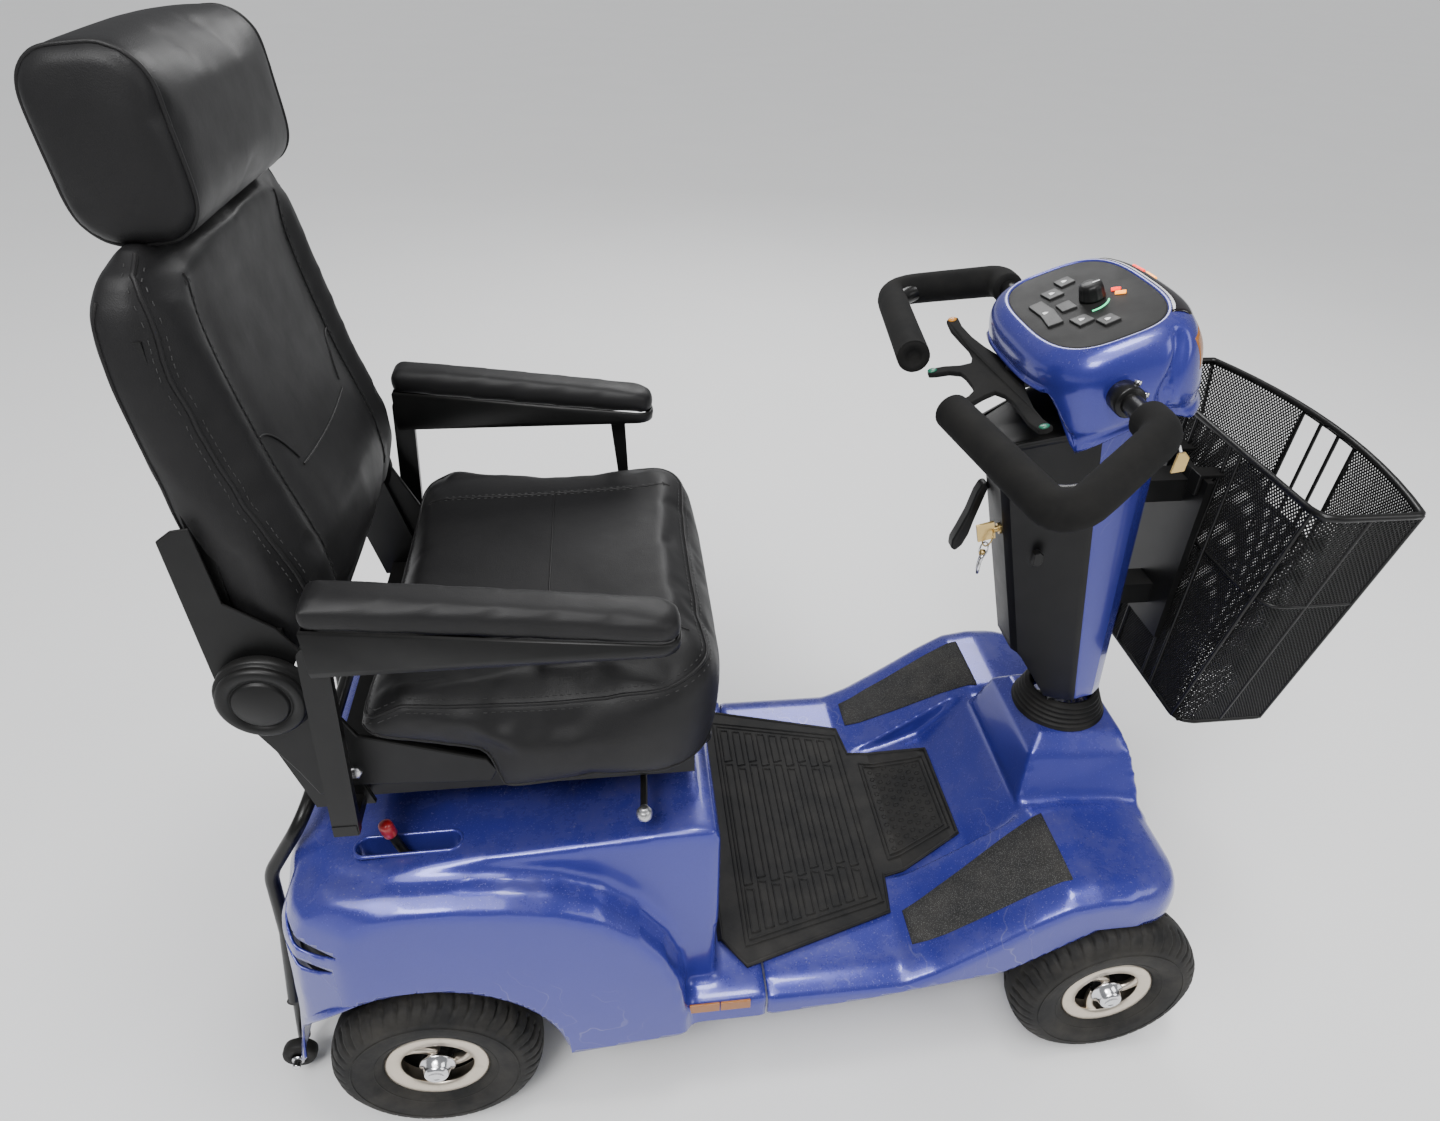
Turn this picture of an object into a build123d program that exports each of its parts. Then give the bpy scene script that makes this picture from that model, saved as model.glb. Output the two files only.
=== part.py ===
from build123d import *

import os

# Four-wheel mobility scooter, in millimetres. X runs forward, Y to the rider's left and Z up.
# X is worked out from the rear axle; save() then moves every sub-part so that the model's origin
# lies on the floor under the middle of its length.

# ---- driving dimensions ----
ORIGIN_X = 452.0
WHEELBASE = 889.0
TRACK_HALF = 262.0
TYRE_RADIUS = 130.0
TYRE_WIDTH = 84.0
BEAD_RADIUS = 64.0
AXLE_RADIUS = 10.0
RUNNING_FIT = 0.05
AXLE_Z = TYRE_RADIUS

SHELL = 3.0
REAR_BODY_HALF = 298.0
PLATFORM_HALF = 250.0
SILL_HALF = 284.0
DECK_Z = 197.0
BODY_SEAM_X = 417.0
HUMP_HALF = 75.0
HUMP_TOP = 404.0

KINGPIN_Y = 195.0
STEER_X = 873.0
STEER_ARM = 70.0
TILT_X, TILT_Z = 860.0, 480.0
TUBE_LEAN = 9.35

PANEL_X, PANEL_Z = 770.0, 990.0
PANEL_TILT = 20.5
BAR_RADIUS = 11.0
GRIP_RADIUS = 19.5
PADDLE_TILT = 15.0
PADDLE_X, PADDLE_Z = 705.0, 921.0

SEAT_X = 150.0
SEAT_HALF = 246.0
RECLINE_X, RECLINE_Z = -83.0, 700.0
BACK_HALF = 212.0
ARM_INNER, ARM_OUTER = 222.0, 274.0
ARM_PIVOT_X, ARM_PIVOT_Z = -17.0, 770.0

BASKET_RIM_Z = 832.0
BASKET_FLOOR_Z = 480.0

SIDES = {"left": 1, "right": -1}


# ---- helpers ----
def block(x0, x1, y0, y1, z0, z1):
    """A box between two corners, whichever way round its limits are given."""
    low = [min(x0, x1), min(y0, y1), min(z0, z1)]
    size = [abs(x1 - x0), abs(y1 - y0), abs(z1 - z0)]
    return Pos(*low) * Box(*size, align=Align.MIN)


def rod(start, end, radius):
    """A round bar from one point to another."""
    axis = Vector(*end) - Vector(*start)
    return extrude(Plane(origin=start, z_dir=axis) * Circle(radius), amount=axis.length)


def prism_y(points, y0, y1):
    """An XZ outline pushed out along Y, between two planes."""
    y0, y1 = sorted((y0, y1))
    face = make_face(Polyline(*[(x, y0, z) for x, z in points], close=True))
    return extrude(face, amount=y1 - y0, dir=(0, 1, 0))


def prism_z(points, z0, z1):
    """An XY outline pushed up along Z."""
    face = make_face(Polyline(*[(x, y, z0) for x, y in points], close=True))
    return extrude(face, amount=z1 - z0, dir=(0, 0, 1))


def inset_prism_y(points, inset, y_half):
    """The same outline drawn in by a wall thickness, for hollowing a shell."""
    wire = Polyline(*[(x, z) for x, z in points], close=True)
    face = offset(make_face(wire), amount=-inset, kind=Kind.INTERSECTION)
    return Pos(0, y_half, 0) * extrude(Plane.XZ * face, amount=2 * y_half)


def both(shape):
    """The shape and its mirror image on the other side of the scooter."""
    return [shape, mirror(shape, Plane.XZ)]


def at_side(shape, side):
    """A shape drawn on the left, put on the named side."""
    return shape if side == "left" else mirror(shape, Plane.XZ)


def fuse(*shapes):
    """One solid from several that meet."""
    body = shapes[0]
    for shape in shapes[1:]:
        body = body + shape
    return body.clean()


def tube_along(points, radii, radius):
    """A round section swept along straight runs joined by tangent arcs."""
    path = FilletPolyline(*points, radius=radii)
    return sweep(Plane(origin=path @ 0, z_dir=path % 0) * Circle(radius), path=path)


def save(name, shape):
    """Write one sub-part, moved to the model's own origin."""
    solids = shape if isinstance(shape, list) else [shape]
    moved = [Pos(-ORIGIN_X, 0, 0) * item for item in solids]
    export_step(moved[0] if len(moved) == 1 else Compound(children=moved), f"parts/{name}.step")


# ---- wheels ----
def tyre():
    """Rounded tyre about the Y axis, centred on its middle plane."""
    half = TYRE_WIDTH / 2
    depth = TYRE_RADIUS - BEAD_RADIUS
    section = Pos(BEAD_RADIUS + depth / 2, 0) * Rectangle(depth, TYRE_WIDTH)
    crown = section.vertices().sort_by(Axis.X)[-2:]
    section = fillet(crown, 0.58 * half)
    return revolve(section, axis=Axis.Y)


def rim(shaft_inner):
    """Three-spoke rim with its cap; shaft_inner is where a driven rim's half shaft ends, else None."""
    barrel = ring_y(-36, 31, BEAD_RADIUS - 0.1, 52)
    web = ring_y(19, 26, 53, 18)
    for turn in (0, 120, 240):
        window = Rot(0, turn, 0) * Pos(36, 22, 0) * Rot(90, 0, 0) * Cylinder(13, 20)
        web = web - window
    hub = rod((0, -20, 0), (0, 30, 0), 20)
    cap = Pos(0, 37, 0) * Rot(-90, 0, 0) * Cone(20, 13, 14)
    body = fuse(barrel, web, hub, cap)
    if shaft_inner is None:
        return body - rod((0, -21, 0), (0, 27, 0), AXLE_RADIUS + RUNNING_FIT)
    return fuse(body, rod((0, -(TRACK_HALF - shaft_inner), 0), (0, 0, 0), AXLE_RADIUS))


def ring_y(y0, y1, outer, inner):
    """A flat ring about the Y axis."""
    return rod((0, y0, 0), (0, y1, 0), outer) - rod((0, y0 - 1, 0), (0, y1 + 1, 0), inner)


def wheels():
    for end, x in (("front", WHEELBASE), ("rear", 0.0)):
        for side in SIDES:
            shaft = 22.0 if end == "rear" else None
            place = Pos(x, TRACK_HALF, AXLE_Z)
            save(f"{end}_tyre_{side}", at_side(place * tyre(), side))
            save(f"{end}_rim_{side}", at_side(place * rim(shaft), side))


# ---- chassis ----
def main_frame():
    """Welded steel frame: rails, cross-members, front beam, head tube and seat tower."""
    pieces = []
    for y0, y1 in ((66, 96), (-96, -66)):
        pieces.append(block(60, 877, y0, y1, 105, 140) - block(63, 874, y0 + 3, y1 - 3, 108, 137))
        pieces.append(block(-150, 80, y0, y1, 155, 175))
        pieces.append(block(60, 80, y0, y1, 140, 155))
    for x in (60, 330, 560, 700, 840):
        pieces.append(block(x, x + 20, -66, 66, 105, 140))
    pieces.append(block(-150, -130, -66, 66, 155, 175))
    pieces.append(block(877, 901, -179, 179, 112, 148))
    pieces += both(rod((WHEELBASE, KINGPIN_Y, 101), (WHEELBASE, KINGPIN_Y, 164), 18))
    pieces.append(block(85, 275, -155, 155, 140, 146))
    pieces.append(rod((SEAT_X, 0, 146), (SEAT_X, 0, 455), 32))
    pieces.append(prism_y([(100, 146), (200, 146), (182, 300), (118, 300)], -4, 4))
    pieces += both(block(862, 900, 20, 30, 148, 395))
    pieces.append(rod((STEER_X, 0, 205), (STEER_X, 0, 395), 24))
    pieces.append(block(-5, 25, -203, -66, 175, 183))
    pieces.append(block(-5, 25, -203, -195, 183, 412))
    pieces.append(rod((10, -203, 400), (10, -214, 400), 5))
    frame = fuse(*pieces)
    for y in (KINGPIN_Y, -KINGPIN_Y):
        frame = frame - rod((WHEELBASE, y, 90), (WHEELBASE, y, 180), 8)
    frame = frame - rod((SEAT_X, 0, 200), (SEAT_X, 0, 470), 25 + RUNNING_FIT)
    return frame - rod((STEER_X, 0, 150), (STEER_X, 0, 400), 15 + RUNNING_FIT)


def knuckle():
    """Left stub axle carrier with its kingpin, steering arm and ball pin."""
    pieces = [rod((WHEELBASE, KINGPIN_Y, 92), (WHEELBASE, KINGPIN_Y, 175), 8 - RUNNING_FIT)]
    pieces.append(block(874, 904, 180, 222, 92, 100))
    pieces.append(block(874, 904, 180, 222, 165, 175))
    pieces.append(block(874, 904, 214, 222, 92, 175))
    pieces.append(block(811, 875, 187, 203, 165, 175))
    pieces.append(rod((WHEELBASE - STEER_ARM, KINGPIN_Y, 175), (WHEELBASE - STEER_ARM, KINGPIN_Y, 189), 5))
    pieces.append(rod((WHEELBASE, 222, AXLE_Z), (WHEELBASE, 241.5, AXLE_Z), 14))
    pieces.append(rod((WHEELBASE, 222, AXLE_Z), (WHEELBASE, 288, AXLE_Z), AXLE_RADIUS))
    return fuse(*pieces)


def tie_rod():
    """Track rod that joins both steering arms to the arm under the steering shaft."""
    ends = [(WHEELBASE - STEER_ARM, KINGPIN_Y), (STEER_X - STEER_ARM, 0), (WHEELBASE - STEER_ARM, -KINGPIN_Y)]
    pieces = [rod((x, y, 175.5), (x, y, 187), 11) for x, y in ends]
    pieces.append(rod((*ends[0], 181), (*ends[1], 181), 5))
    pieces.append(rod((*ends[1], 181), (*ends[2], 181), 5))
    body = fuse(*pieces)
    for x, y in ends:
        body = body - rod((x, y, 170), (x, y, 192), 5 + RUNNING_FIT)
    return body


def drive_transaxle():
    """Gearbox with its axle tubes and the drive motor with brake behind it."""
    housing = fillet(block(-50, 50, -60, 60, 85, 150).edges().filter_by(Axis.Y), 14)
    pieces = [housing, rod((0, -205, AXLE_Z), (0, 205, AXLE_Z), 20)]
    pieces.append(rod((-150, 0, 108), (-45, 0, 108), 40))
    pieces += both(block(-20, 20, 70, 92, 140, 155))
    body = fuse(*pieces)
    for y in (1, -1):
        body = body - rod((0, 20 * y, AXLE_Z), (0, 206 * y, AXLE_Z), AXLE_RADIUS + RUNNING_FIT)
    return body


def batteries():
    """Two sealed 12 V batteries, one each side of the seat tower."""
    case = fillet(block(90, 271, 75, 152, 146, 306).edges().filter_by(Axis.Z), 4)
    posts = [rod((x, 113, 306), (x, 113, 312), 7) for x in (110, 250)]
    return both(fuse(case, *posts))


def rear_guard_frame():
    """Tubular hoop behind the body, with the two anti-tip arms it carries."""
    half = [(-190, 190, 150), (-168, 190, 290), (-160, 190, 398), (-104, 190, 486)]
    path = half + [(x, -y, z) for x, y, z in reversed(half)]
    hoop = tube_along(path, [60, 60, 34, 34, 60, 60], 8)
    lower = rod((-190, -196, 150), (-190, 196, 150), 8)
    arm = rod((-190, 176, 150), (-205, 176, 40), 8)
    pin = rod((-205, 170, 40), (-205, 222, 40), 5)
    stay = rod((-140, 81, 165), (-190, 81, 150), 6)
    return fuse(hoop, lower, *both(arm), *both(pin), *both(stay)) - block(-150, -100, -120, 120, 140, 185)


def anti_tip_roller():
    """Small rubber roller on the left arm."""
    tread = rod((-205, 188, 40), (-205, 210, 40), 22)
    return tread - rod((-205, 180, 40), (-205, 215, 40), 5 + RUNNING_FIT)


# ---- body shells ----
PLATFORM_SIDE = [(-156, 120), (-158, 217), (-142, 400), (-108, 450), (356, 478), (348, 120)]
REAR_FENDER_SIDE = [
    (-192, 80), (-160, 217), (-144, 380), (-104, 440), (36, 457), (150, 446),
    (217, 418), (285, 345), (307, 269), (315, 204), (315, 80),
]
REAR_SILL_SIDE = [(300, 150), (300, DECK_Z), (BODY_SEAM_X, DECK_Z), (BODY_SEAM_X, 152)]


def shell_block(outline, y_half):
    """A closed outline made into a thin-walled cover that is open below."""
    outer = prism_y(outline, -y_half, y_half)
    inner = inset_prism_y(outline, SHELL, y_half - SHELL)
    return outer, inner + Pos(0, 0, -2 * SHELL) * inner


def rear_shroud():
    """Rear body: seat platform, both rear fenders and the rear stretch of the deck."""
    covers = [
        shell_block(PLATFORM_SIDE, PLATFORM_HALF),
        shell_block(REAR_FENDER_SIDE, REAR_BODY_HALF),
        shell_block(REAR_SILL_SIDE, SILL_HALF),
    ]
    shell = fuse(*[outer for outer, _ in covers])
    for _, inner in covers:
        shell = shell - inner
    wheel_well = rod((0, 205, AXLE_Z), (0, 320, AXLE_Z), 166)
    for well in both(wheel_well):
        shell = shell - well
    shell = shell - block(-150, 299, -230, 230, 60, 150)
    shell = shell - block(-220, -120, -188, 188, 60, 178)
    skirt = [(-210, 60), (-192, 80), (-155, 150), (0, 150), (158, 132), (332, 152), (430, 152), (430, 60)]
    shell = shell - prism_y(skirt, -320, 320)
    sill_inside = SILL_HALF - SHELL
    shell = shell - block(300 - SHELL, BODY_SEAM_X + 1, -sill_inside, sill_inside, 60, DECK_Z - SHELL)
    shell = shell - rod((SEAT_X, 0, 400), (SEAT_X, 0, 500), 36)
    slot = block(-36, 53, -229, -203, 430, 500) + rod((-36, -216, 430), (-36, -216, 500), 13)
    slot = slot + rod((53, -216, 430), (53, -216, 500), 13)
    return largest(shell - slot)


def largest(shape):
    """The biggest solid of a cut shape, without offcuts."""
    return shape.solids().sort_by(SortBy.VOLUME)[-1]


CENTRE_LINE = [
    (BODY_SEAM_X + 0.5, DECK_Z), (606, DECK_Z), (640, 200), (727, 235), (800, 322), (962, 318), (975, 290),
]
FENDER_LINE = [(BODY_SEAM_X + 0.5, DECK_Z), (617, DECK_Z), (816, 326), (900, 326), (962, 316), (975, 290)]
HUMP_SIDE = [(778, 270), (800, 385), (812, HUMP_TOP), (940, HUMP_TOP), (952, 390), (972, 300), (972, 270)]
LIP_LINE = [(400, 150), (560, 166), (731, 194), (745, 201), (846, 267), (958, 266), (990, 264)]
TREAD_INNER = 130.0
BODY_NOSE_X = 975.0


def below(line, drop, y0, y1, floor=100.0):
    """Everything under an XZ line, from a drop below it down to a level."""
    top = [(x, z - drop) for x, z in line]
    return prism_y([*top, (line[-1][0], floor), (line[0][0], floor)], y0, y1)


def front_shroud():
    """Front body: deck, sloping fenders, nose and the hump round the steering shaft."""
    wall = 1.3 * SHELL
    nose = BODY_NOSE_X - SHELL
    shell = below(CENTRE_LINE, 0, -TREAD_INNER, TREAD_INNER)
    shell = fuse(shell, *both(below(FENDER_LINE, 0, TREAD_INNER - SHELL, SILL_HALF)))
    shell = fuse(shell, prism_y(HUMP_SIDE, -HUMP_HALF, HUMP_HALF))
    middle = below(CENTRE_LINE, wall, -TREAD_INNER + SHELL, TREAD_INNER - SHELL, 90)
    shell = shell - (middle & block(400, nose, -300, 300, 80, 500))
    for side in both(below(FENDER_LINE, wall, TREAD_INNER, SILL_HALF - SHELL, 90)):
        shell = shell - (side & block(400, nose, -300, 300, 80, 500))
    shell = shell - (below(CENTRE_LINE, wall + 1, -150, 150, 80) & block(400, nose, -150, 150, 70, 500))
    shell = shell - below(LIP_LINE, 0, -320, 320, 80)
    inside = inset_prism_y(HUMP_SIDE, SHELL, HUMP_HALF - SHELL)
    shell = shell - inside - (Pos(0, 0, -8) * inside)
    return largest(shell - rod((STEER_X, 0, 380), (STEER_X, 0, 420), 40))


MAT_PLAN = [(366, 200), (396, 244), (604, 182), (607, 124), (640, 118), (727, 87)]
MAT_LINE = [(360, DECK_Z + 0.2), (606, DECK_Z + 0.2), (640, 200.3), (735, 238.6)]


def floor_mat():
    """Ribbed rubber mat that follows the deck and the toe ramp."""
    plan = MAT_PLAN + [(x, -y) for x, y in reversed(MAT_PLAN)]
    strip = MAT_LINE + [(x, z + 5) for x, z in reversed(MAT_LINE)]
    return prism_z(plan, 150, 300) & prism_y(strip, -260, 260)


def fender_pads():
    """Grit pads on the slopes of the front fenders."""
    plan = [(619, 180), (623, 242), (812, 245), (812, 134)]
    slope = (326 - DECK_Z) / (816 - 617)
    corners = ((600, 0.4), (815, 0.4), (815, 3.4), (600, 3.4))
    strip = [(x, DECK_Z + slope * (x - 617) + lift) for x, lift in corners]
    return both(prism_z(plan, 150, 400) & prism_y(strip, 100, 260))


def side_reflectors():
    """Amber reflectors on the sills."""
    rear = block(317, 356, SILL_HALF + 0.2, SILL_HALF + 3, 178, 194)
    front = block(356, 395, SILL_HALF + 0.2, SILL_HALF + 2.6, 178, 194)
    return both(rear + front)


def freewheel_lever():
    """Lever in the platform slot that frees the drive."""
    boss = rod((10, -204, 400), (10, -213, 400), 10)
    stem = rod((10, -208.5, 400), (-8, -216, 482), 5.5)
    knob = rod((-8, -216, 478), (-12, -217, 497), 8)
    return fuse(boss, stem, knob) - rod((10, -200, 400), (10, -215, 400), 5 + RUNNING_FIT)


# ---- steering column ----
TILLER = Location((TILT_X, 0, TILT_Z), (0, -TUBE_LEAN, 0))
CONSOLE = Location((PANEL_X, 0, PANEL_Z), (0, -PANEL_TILT, 0))
PADDLE = Location((PADDLE_X, 0, PADDLE_Z), (0, -PADDLE_TILT, 0))
BAR_X, BAR_Z = 762.0, 942.0
CONSOLE_DEPTH = -112.0


def steering_shaft():
    """Shaft in the head tube, with the arm below and the tilt fork above."""
    pieces = [rod((STEER_X, 0, 160), (STEER_X, 0, 440), 15)]
    pieces.append(block(795, STEER_X, -9, 9, 165, 175))
    pieces.append(rod((STEER_X - STEER_ARM, 0, 170), (STEER_X - STEER_ARM, 0, 189), 5))
    pieces.append(rod((STEER_X, 0, 395.5), (STEER_X, 0, 402), 22))
    pieces.append(block(838, 895, -32, 32, 438, 446))
    pieces += both(block(838, 890, 24, 32, 446, 500))
    pieces.append(rod((TILT_X, -32, TILT_Z), (TILT_X, 32, TILT_Z), 8))
    return fuse(*pieces)


def steering_boot():
    """Rubber bellows over the top of the steering shaft."""
    rings, step = 4, 8.0
    outer = [(64 - 2.2 * i / 2, HUMP_TOP + 0.3 + step * i / 2) for i in range(2 * rings + 1)]
    folds = [(r - (5 if i % 2 else 0), z) for i, (r, z) in enumerate(outer)]
    inner = [(r - 9, z) for r, z in reversed(folds)]
    face = make_face(Polyline(*[(r, 0, z) for r, z in folds + inner], close=True))
    return Pos(STEER_X, 0, 0) * revolve(face, axis=Axis.Z)


def tiller_frame():
    """Inner tube of the column, from the tilt pivot to the handlebar clamp."""
    tube = TILLER * (block(-18, 18, -20, 20, 10, 440) - block(-15, 15, -17, 17, 24, 430))
    boss = rod((TILT_X, -23.5, TILT_Z), (TILT_X, 23.5, TILT_Z), 20)
    clamp = block(BAR_X - 20, BAR_X + 40, -26, 26, 896, BAR_Z - 1)
    post = PADDLE * block(-2, 60, -12, 12, -26, -18)
    pin = PADDLE * rod((0, 0, -24), (0, 0, 0), 5)
    body = fuse(tube, boss, clamp, post, pin)
    body = body - rod((TILT_X, -40, TILT_Z), (TILT_X, 40, TILT_Z), 8 + RUNNING_FIT)
    return body - rod((BAR_X, -40, BAR_Z), (BAR_X, 40, BAR_Z), BAR_RADIUS + RUNNING_FIT)


COLUMN_LOW_Z, COLUMN_TOP_Z = 466.0, 915.0
COLUMN_LOW = [(788, 28), (815, 48), (857, 62), (893, 52), (908, 34)]
COLUMN_TOP = [(673, 36), (753, 62), (783, 69), (861, 61), (880, 41)]


def column_solid(inset):
    """The column's outside, or its inside when drawn in by the wall."""
    faces = []
    for half, z in ((COLUMN_LOW, COLUMN_LOW_Z), (COLUMN_TOP, COLUMN_TOP_Z)):
        outline = half + [(x, -y) for x, y in reversed(half)]
        face = make_face(Polyline(*outline, close=True))
        if inset:
            face = offset(face, amount=-inset, kind=Kind.INTERSECTION)
        faces.append(Pos(0, 0, z) * face)
    return loft(faces, ruled=True)


def column_covers():
    """Rear and front covers, parted along a sloping seam."""
    tube = column_solid(0) - column_solid(SHELL)
    seam_low, seam_top = COLUMN_LOW[2][0], COLUMN_TOP[2][0]
    tube = tube - CONSOLE * block(-300, 300, -200, 200, CONSOLE_DEPTH - 0.8, 200)
    low, top = COLUMN_LOW_Z, COLUMN_TOP_Z
    rear = [(600, low), (seam_low - 0.2, low), (seam_top - 0.2, top), (600, top)]
    front = [(seam_low + 0.2, low), (1000, low), (1000, top), (seam_top + 0.2, top)]
    rear_cover = tube & prism_y(rear, -100, 100)
    rear_cover = rear_cover - prism_y([(700, 440), (838, 440), (812, 476), (776, 532), (700, 532)], -100, 100)
    ears = [prism_y([(736, 742), (706, 744), (700, 756), (710, 762), (733, 757)], y, y + 4) for y in (14, 38)]
    hinge_pin = rod((708, 15, 752), (708, 41, 752), 3)
    rear_cover = fuse(rear_cover, *[ear - column_solid(SHELL) for ear in ears], hinge_pin)
    key_hole = rod(key_point(-8), key_point(30), 4 + RUNNING_FIT)
    return largest(rear_cover - key_hole), largest(tube & prism_y(front, -100, 100))


def key_point(out):
    """A point on the key's axis, a distance outside the column's back face."""
    lean = (COLUMN_LOW[0][0] - COLUMN_TOP[0][0]) / (COLUMN_TOP_Z - COLUMN_LOW_Z)
    length = (1 + lean * lean) ** 0.5
    x = COLUMN_LOW[0][0] - lean * (715 - COLUMN_LOW_Z)
    return (x - out / length, -14, 715 - out * lean / length)


def ignition_key():
    """Key with its round bow, turned in the column's back face."""
    blade = rod(key_point(-6), key_point(10), 4)
    tip = key_point(20)
    bow = Pos(*tip) * Rot(0, -14.3, 0) * Box(22, 3.5, 24)
    return fuse(blade, rod(key_point(0.5), key_point(5), 7), bow)


def tilt_lever():
    """Paddle that frees the column's tilt lock."""
    boss = rod((708, 18.5, 752), (708, 37.5, 752), 6)
    outline = [(704, 750), (712, 748), (700, 700), (694, 668), (684, 662), (681, 672), (692, 712)]
    paddle = prism_y(outline, 19, 37)
    return fuse(boss, paddle) - rod((708, 10, 752), (708, 45, 752), 3 + RUNNING_FIT)


LOOP = [(BAR_X, 222, BAR_Z), (641, 305, 902), (613, 82, 901)]
LOOP_BEND = 45.0


def handlebar():
    """One bent bar, straight through the clamp, with a hand loop at each side."""
    right = [(x, -y, z) for x, y, z in LOOP]
    return tube_along([*reversed(LOOP), *right], LOOP_BEND, BAR_RADIUS)


def grips():
    """Foam sleeves on the two hand loops, ending with a round cap past the bar's end."""
    points = [(BAR_X, 188, BAR_Z), *LOOP]
    foam = tube_along(points, LOOP_BEND, GRIP_RADIUS)
    hole = tube_along(points, LOOP_BEND, BAR_RADIUS + 0.2)
    cap = rod(LOOP[-1], (612, 74, 901), GRIP_RADIUS)
    return fuse(foam - hole, cap)


def wigwag_lever():
    """Flat speed paddle with four finger arms, on a pivot under the console."""
    half = [
        (16, 14), (4, 22), (-14, 62), (-18, 152), (-34, 152),
        (-36, 70), (-44, 36), (-80, 52), (-88, 40), (-60, 0),
    ]
    outline = half + [(x, -y) for x, y in reversed(half[:-1])]
    blade = PADDLE * prism_z(outline, -8, -3)
    boss = PADDLE * rod((0, 0, -16), (0, 0, -1), 11)
    return fuse(blade, boss) - (PADDLE * rod((0, 0, -20), (0, 0, 10), 5 + RUNNING_FIT))


def console_shell():
    """Blue housing over the handlebar clamp."""
    outer = extrude(Pos(-2, 0, CONSOLE_DEPTH) * RectangleRounded(180, 256, 62), amount=-CONSOLE_DEPTH)
    outer = fillet(outer.edges().group_by(Axis.Z)[-1], 9)
    inner = extrude(Pos(-2, 0, -116) * RectangleRounded(174, 250, 59), amount=113)
    shell = outer - inner
    shell = shell - extrude(Pos(-1, 0, -10) * RectangleRounded(114.8, 232.8, 45.4), amount=20)
    shell = shell - block(-100, -30, -92, 92, -113, -37)
    shell = CONSOLE * shell
    return largest(shell - rod((BAR_X, -160, BAR_Z), (BAR_X, 160, BAR_Z), 18))


KEYS = {
    "left_turn_key": (1, 57, 20, 14),
    "lamp_key": (-21, 40, 20, 14),
    "horn_key": (-44, 0, 18, 66),
    "slow_key": (-21, 0, 18, 20),
    "hazard_key": (-21, -40, 20, 14),
    "right_turn_key": (-2, -60, 20, 14),
}
KNOB = (8.0, 0.0)


def console_panel():
    """Dark instrument panel with the key pockets and the knob's bush."""
    plate = extrude(Pos(-1, 0, -4) * RectangleRounded(114, 232, 45), amount=4.5)
    flange = extrude(Pos(-1, 0, -9) * RectangleRounded(120, 238, 48), amount=5.9)
    body = plate + flange
    for x, y, length, width in KEYS.values():
        body = body - (Pos(x, y, 0) * Box(length + 0.6, width + 0.6, 8))
    return CONSOLE * (body - rod((*KNOB, -10), (*KNOB, 5), 3 + RUNNING_FIT))


def console_key(x, y, length, width):
    """One press key, standing 1.5 mm proud of the panel."""
    cap = Pos(x, y, 0) * Box(length, width, 4)
    return CONSOLE * fillet(cap.edges().filter_by(Axis.Z), 3)


def speed_knob():
    """Round speed knob with a flat pointer rib."""
    skirt = rod((*KNOB, 1.2), (*KNOB, 16), 13)
    rib = Pos(KNOB[0], KNOB[1], 17) * Box(24, 5, 4)
    return CONSOLE * fuse(skirt, rib, rod((*KNOB, -8), (*KNOB, 2), 3))


def basket_bracket():
    """Bracket bolted to the column's front, with the plate that the basket hooks over."""
    lean = (COLUMN_LOW[-1][0] - COLUMN_TOP[-1][0]) / (COLUMN_TOP_Z - COLUMN_LOW_Z)
    pieces = [block(949, 957, -55, 55, 560, 790), block(957, 963, -30, 30, 560, 570)]
    for z in (590, 745):
        face_x = [COLUMN_LOW[-1][0] - lean * (level - COLUMN_LOW_Z) + 0.2 for level in (z, z + 30)]
        pieces.append(prism_y([(face_x[0], z), (950, z), (950, z + 30), (face_x[1], z + 30)], -18, 18))
    return fuse(*pieces)


def basket_outline(rear, sides, front, half):
    """A D-shaped plan: straight rear edge, short sides and a bowed front."""
    arc = ThreePointArc((sides, half), (front, 0), (sides, -half))
    corner = rear + 24
    walls = Polyline(
        (sides, -half), (corner, -half), (rear, 24 - half), (rear, half - 24), (corner, half), (sides, half)
    )
    return make_face(Curve() + [arc, walls])


def basket():
    """Tapered mesh basket with its front window, wire rim, hanging tab and floor sheet."""
    low = basket_outline(963, 1080, 1104, 135)
    rim_face = basket_outline(974, 1090, 1128, 209)
    outer = loft([Pos(0, 0, BASKET_FLOOR_Z) * low, Pos(0, 0, BASKET_RIM_Z) * rim_face], ruled=True)
    inner_low = basket_outline(966, 1079, 1101, 132)
    inner_rim = basket_outline(977, 1089, 1125, 206)
    sections = [Pos(0, 0, BASKET_FLOOR_Z + 3) * inner_low, Pos(0, 0, BASKET_RIM_Z + 1) * inner_rim]
    inner = loft(sections, ruled=True)
    tray = extrude(Pos(0, 0, BASKET_FLOOR_Z + 2) * basket_outline(973, 1072, 1092, 124), 2)
    window = block(1060, 1150, -48, 48, 690, 822)
    tab = fuse(block(943, 977, -45, 45, 790.5, 795), *both(block(943, 948, 24, 45, 768, 792)))
    return fuse(outer - inner - window, tab, tray)


# ---- seat ----
def seat_post():
    """Post that stands in the seat tower and carries the swivel."""
    post = rod((SEAT_X, 0, 205), (SEAT_X, 0, 492), 25)
    return post - rod((SEAT_X, 0, 450), (SEAT_X, 0, 493), 12 + RUNNING_FIT)


def swivel_plate():
    """Turntable with the lower halves of the seat slides."""
    pieces = [rod((SEAT_X, 0, 455), (SEAT_X, 0, 496), 12), rod((SEAT_X, 0, 492.5), (SEAT_X, 0, 501), 40)]
    pieces.append(block(50, 285, -122, 122, 500, 505))
    pieces += both(block(0, 300, 100, 120, 505, 515))
    pieces.append(block(261, 267, -134, -119, 506, 514))
    pieces.append(block(261, 267, -134, -125, 506, 524))
    pieces.append(rod((262, -130, 518), (280, -130, 518), 3))
    return fuse(*pieces)


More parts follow.
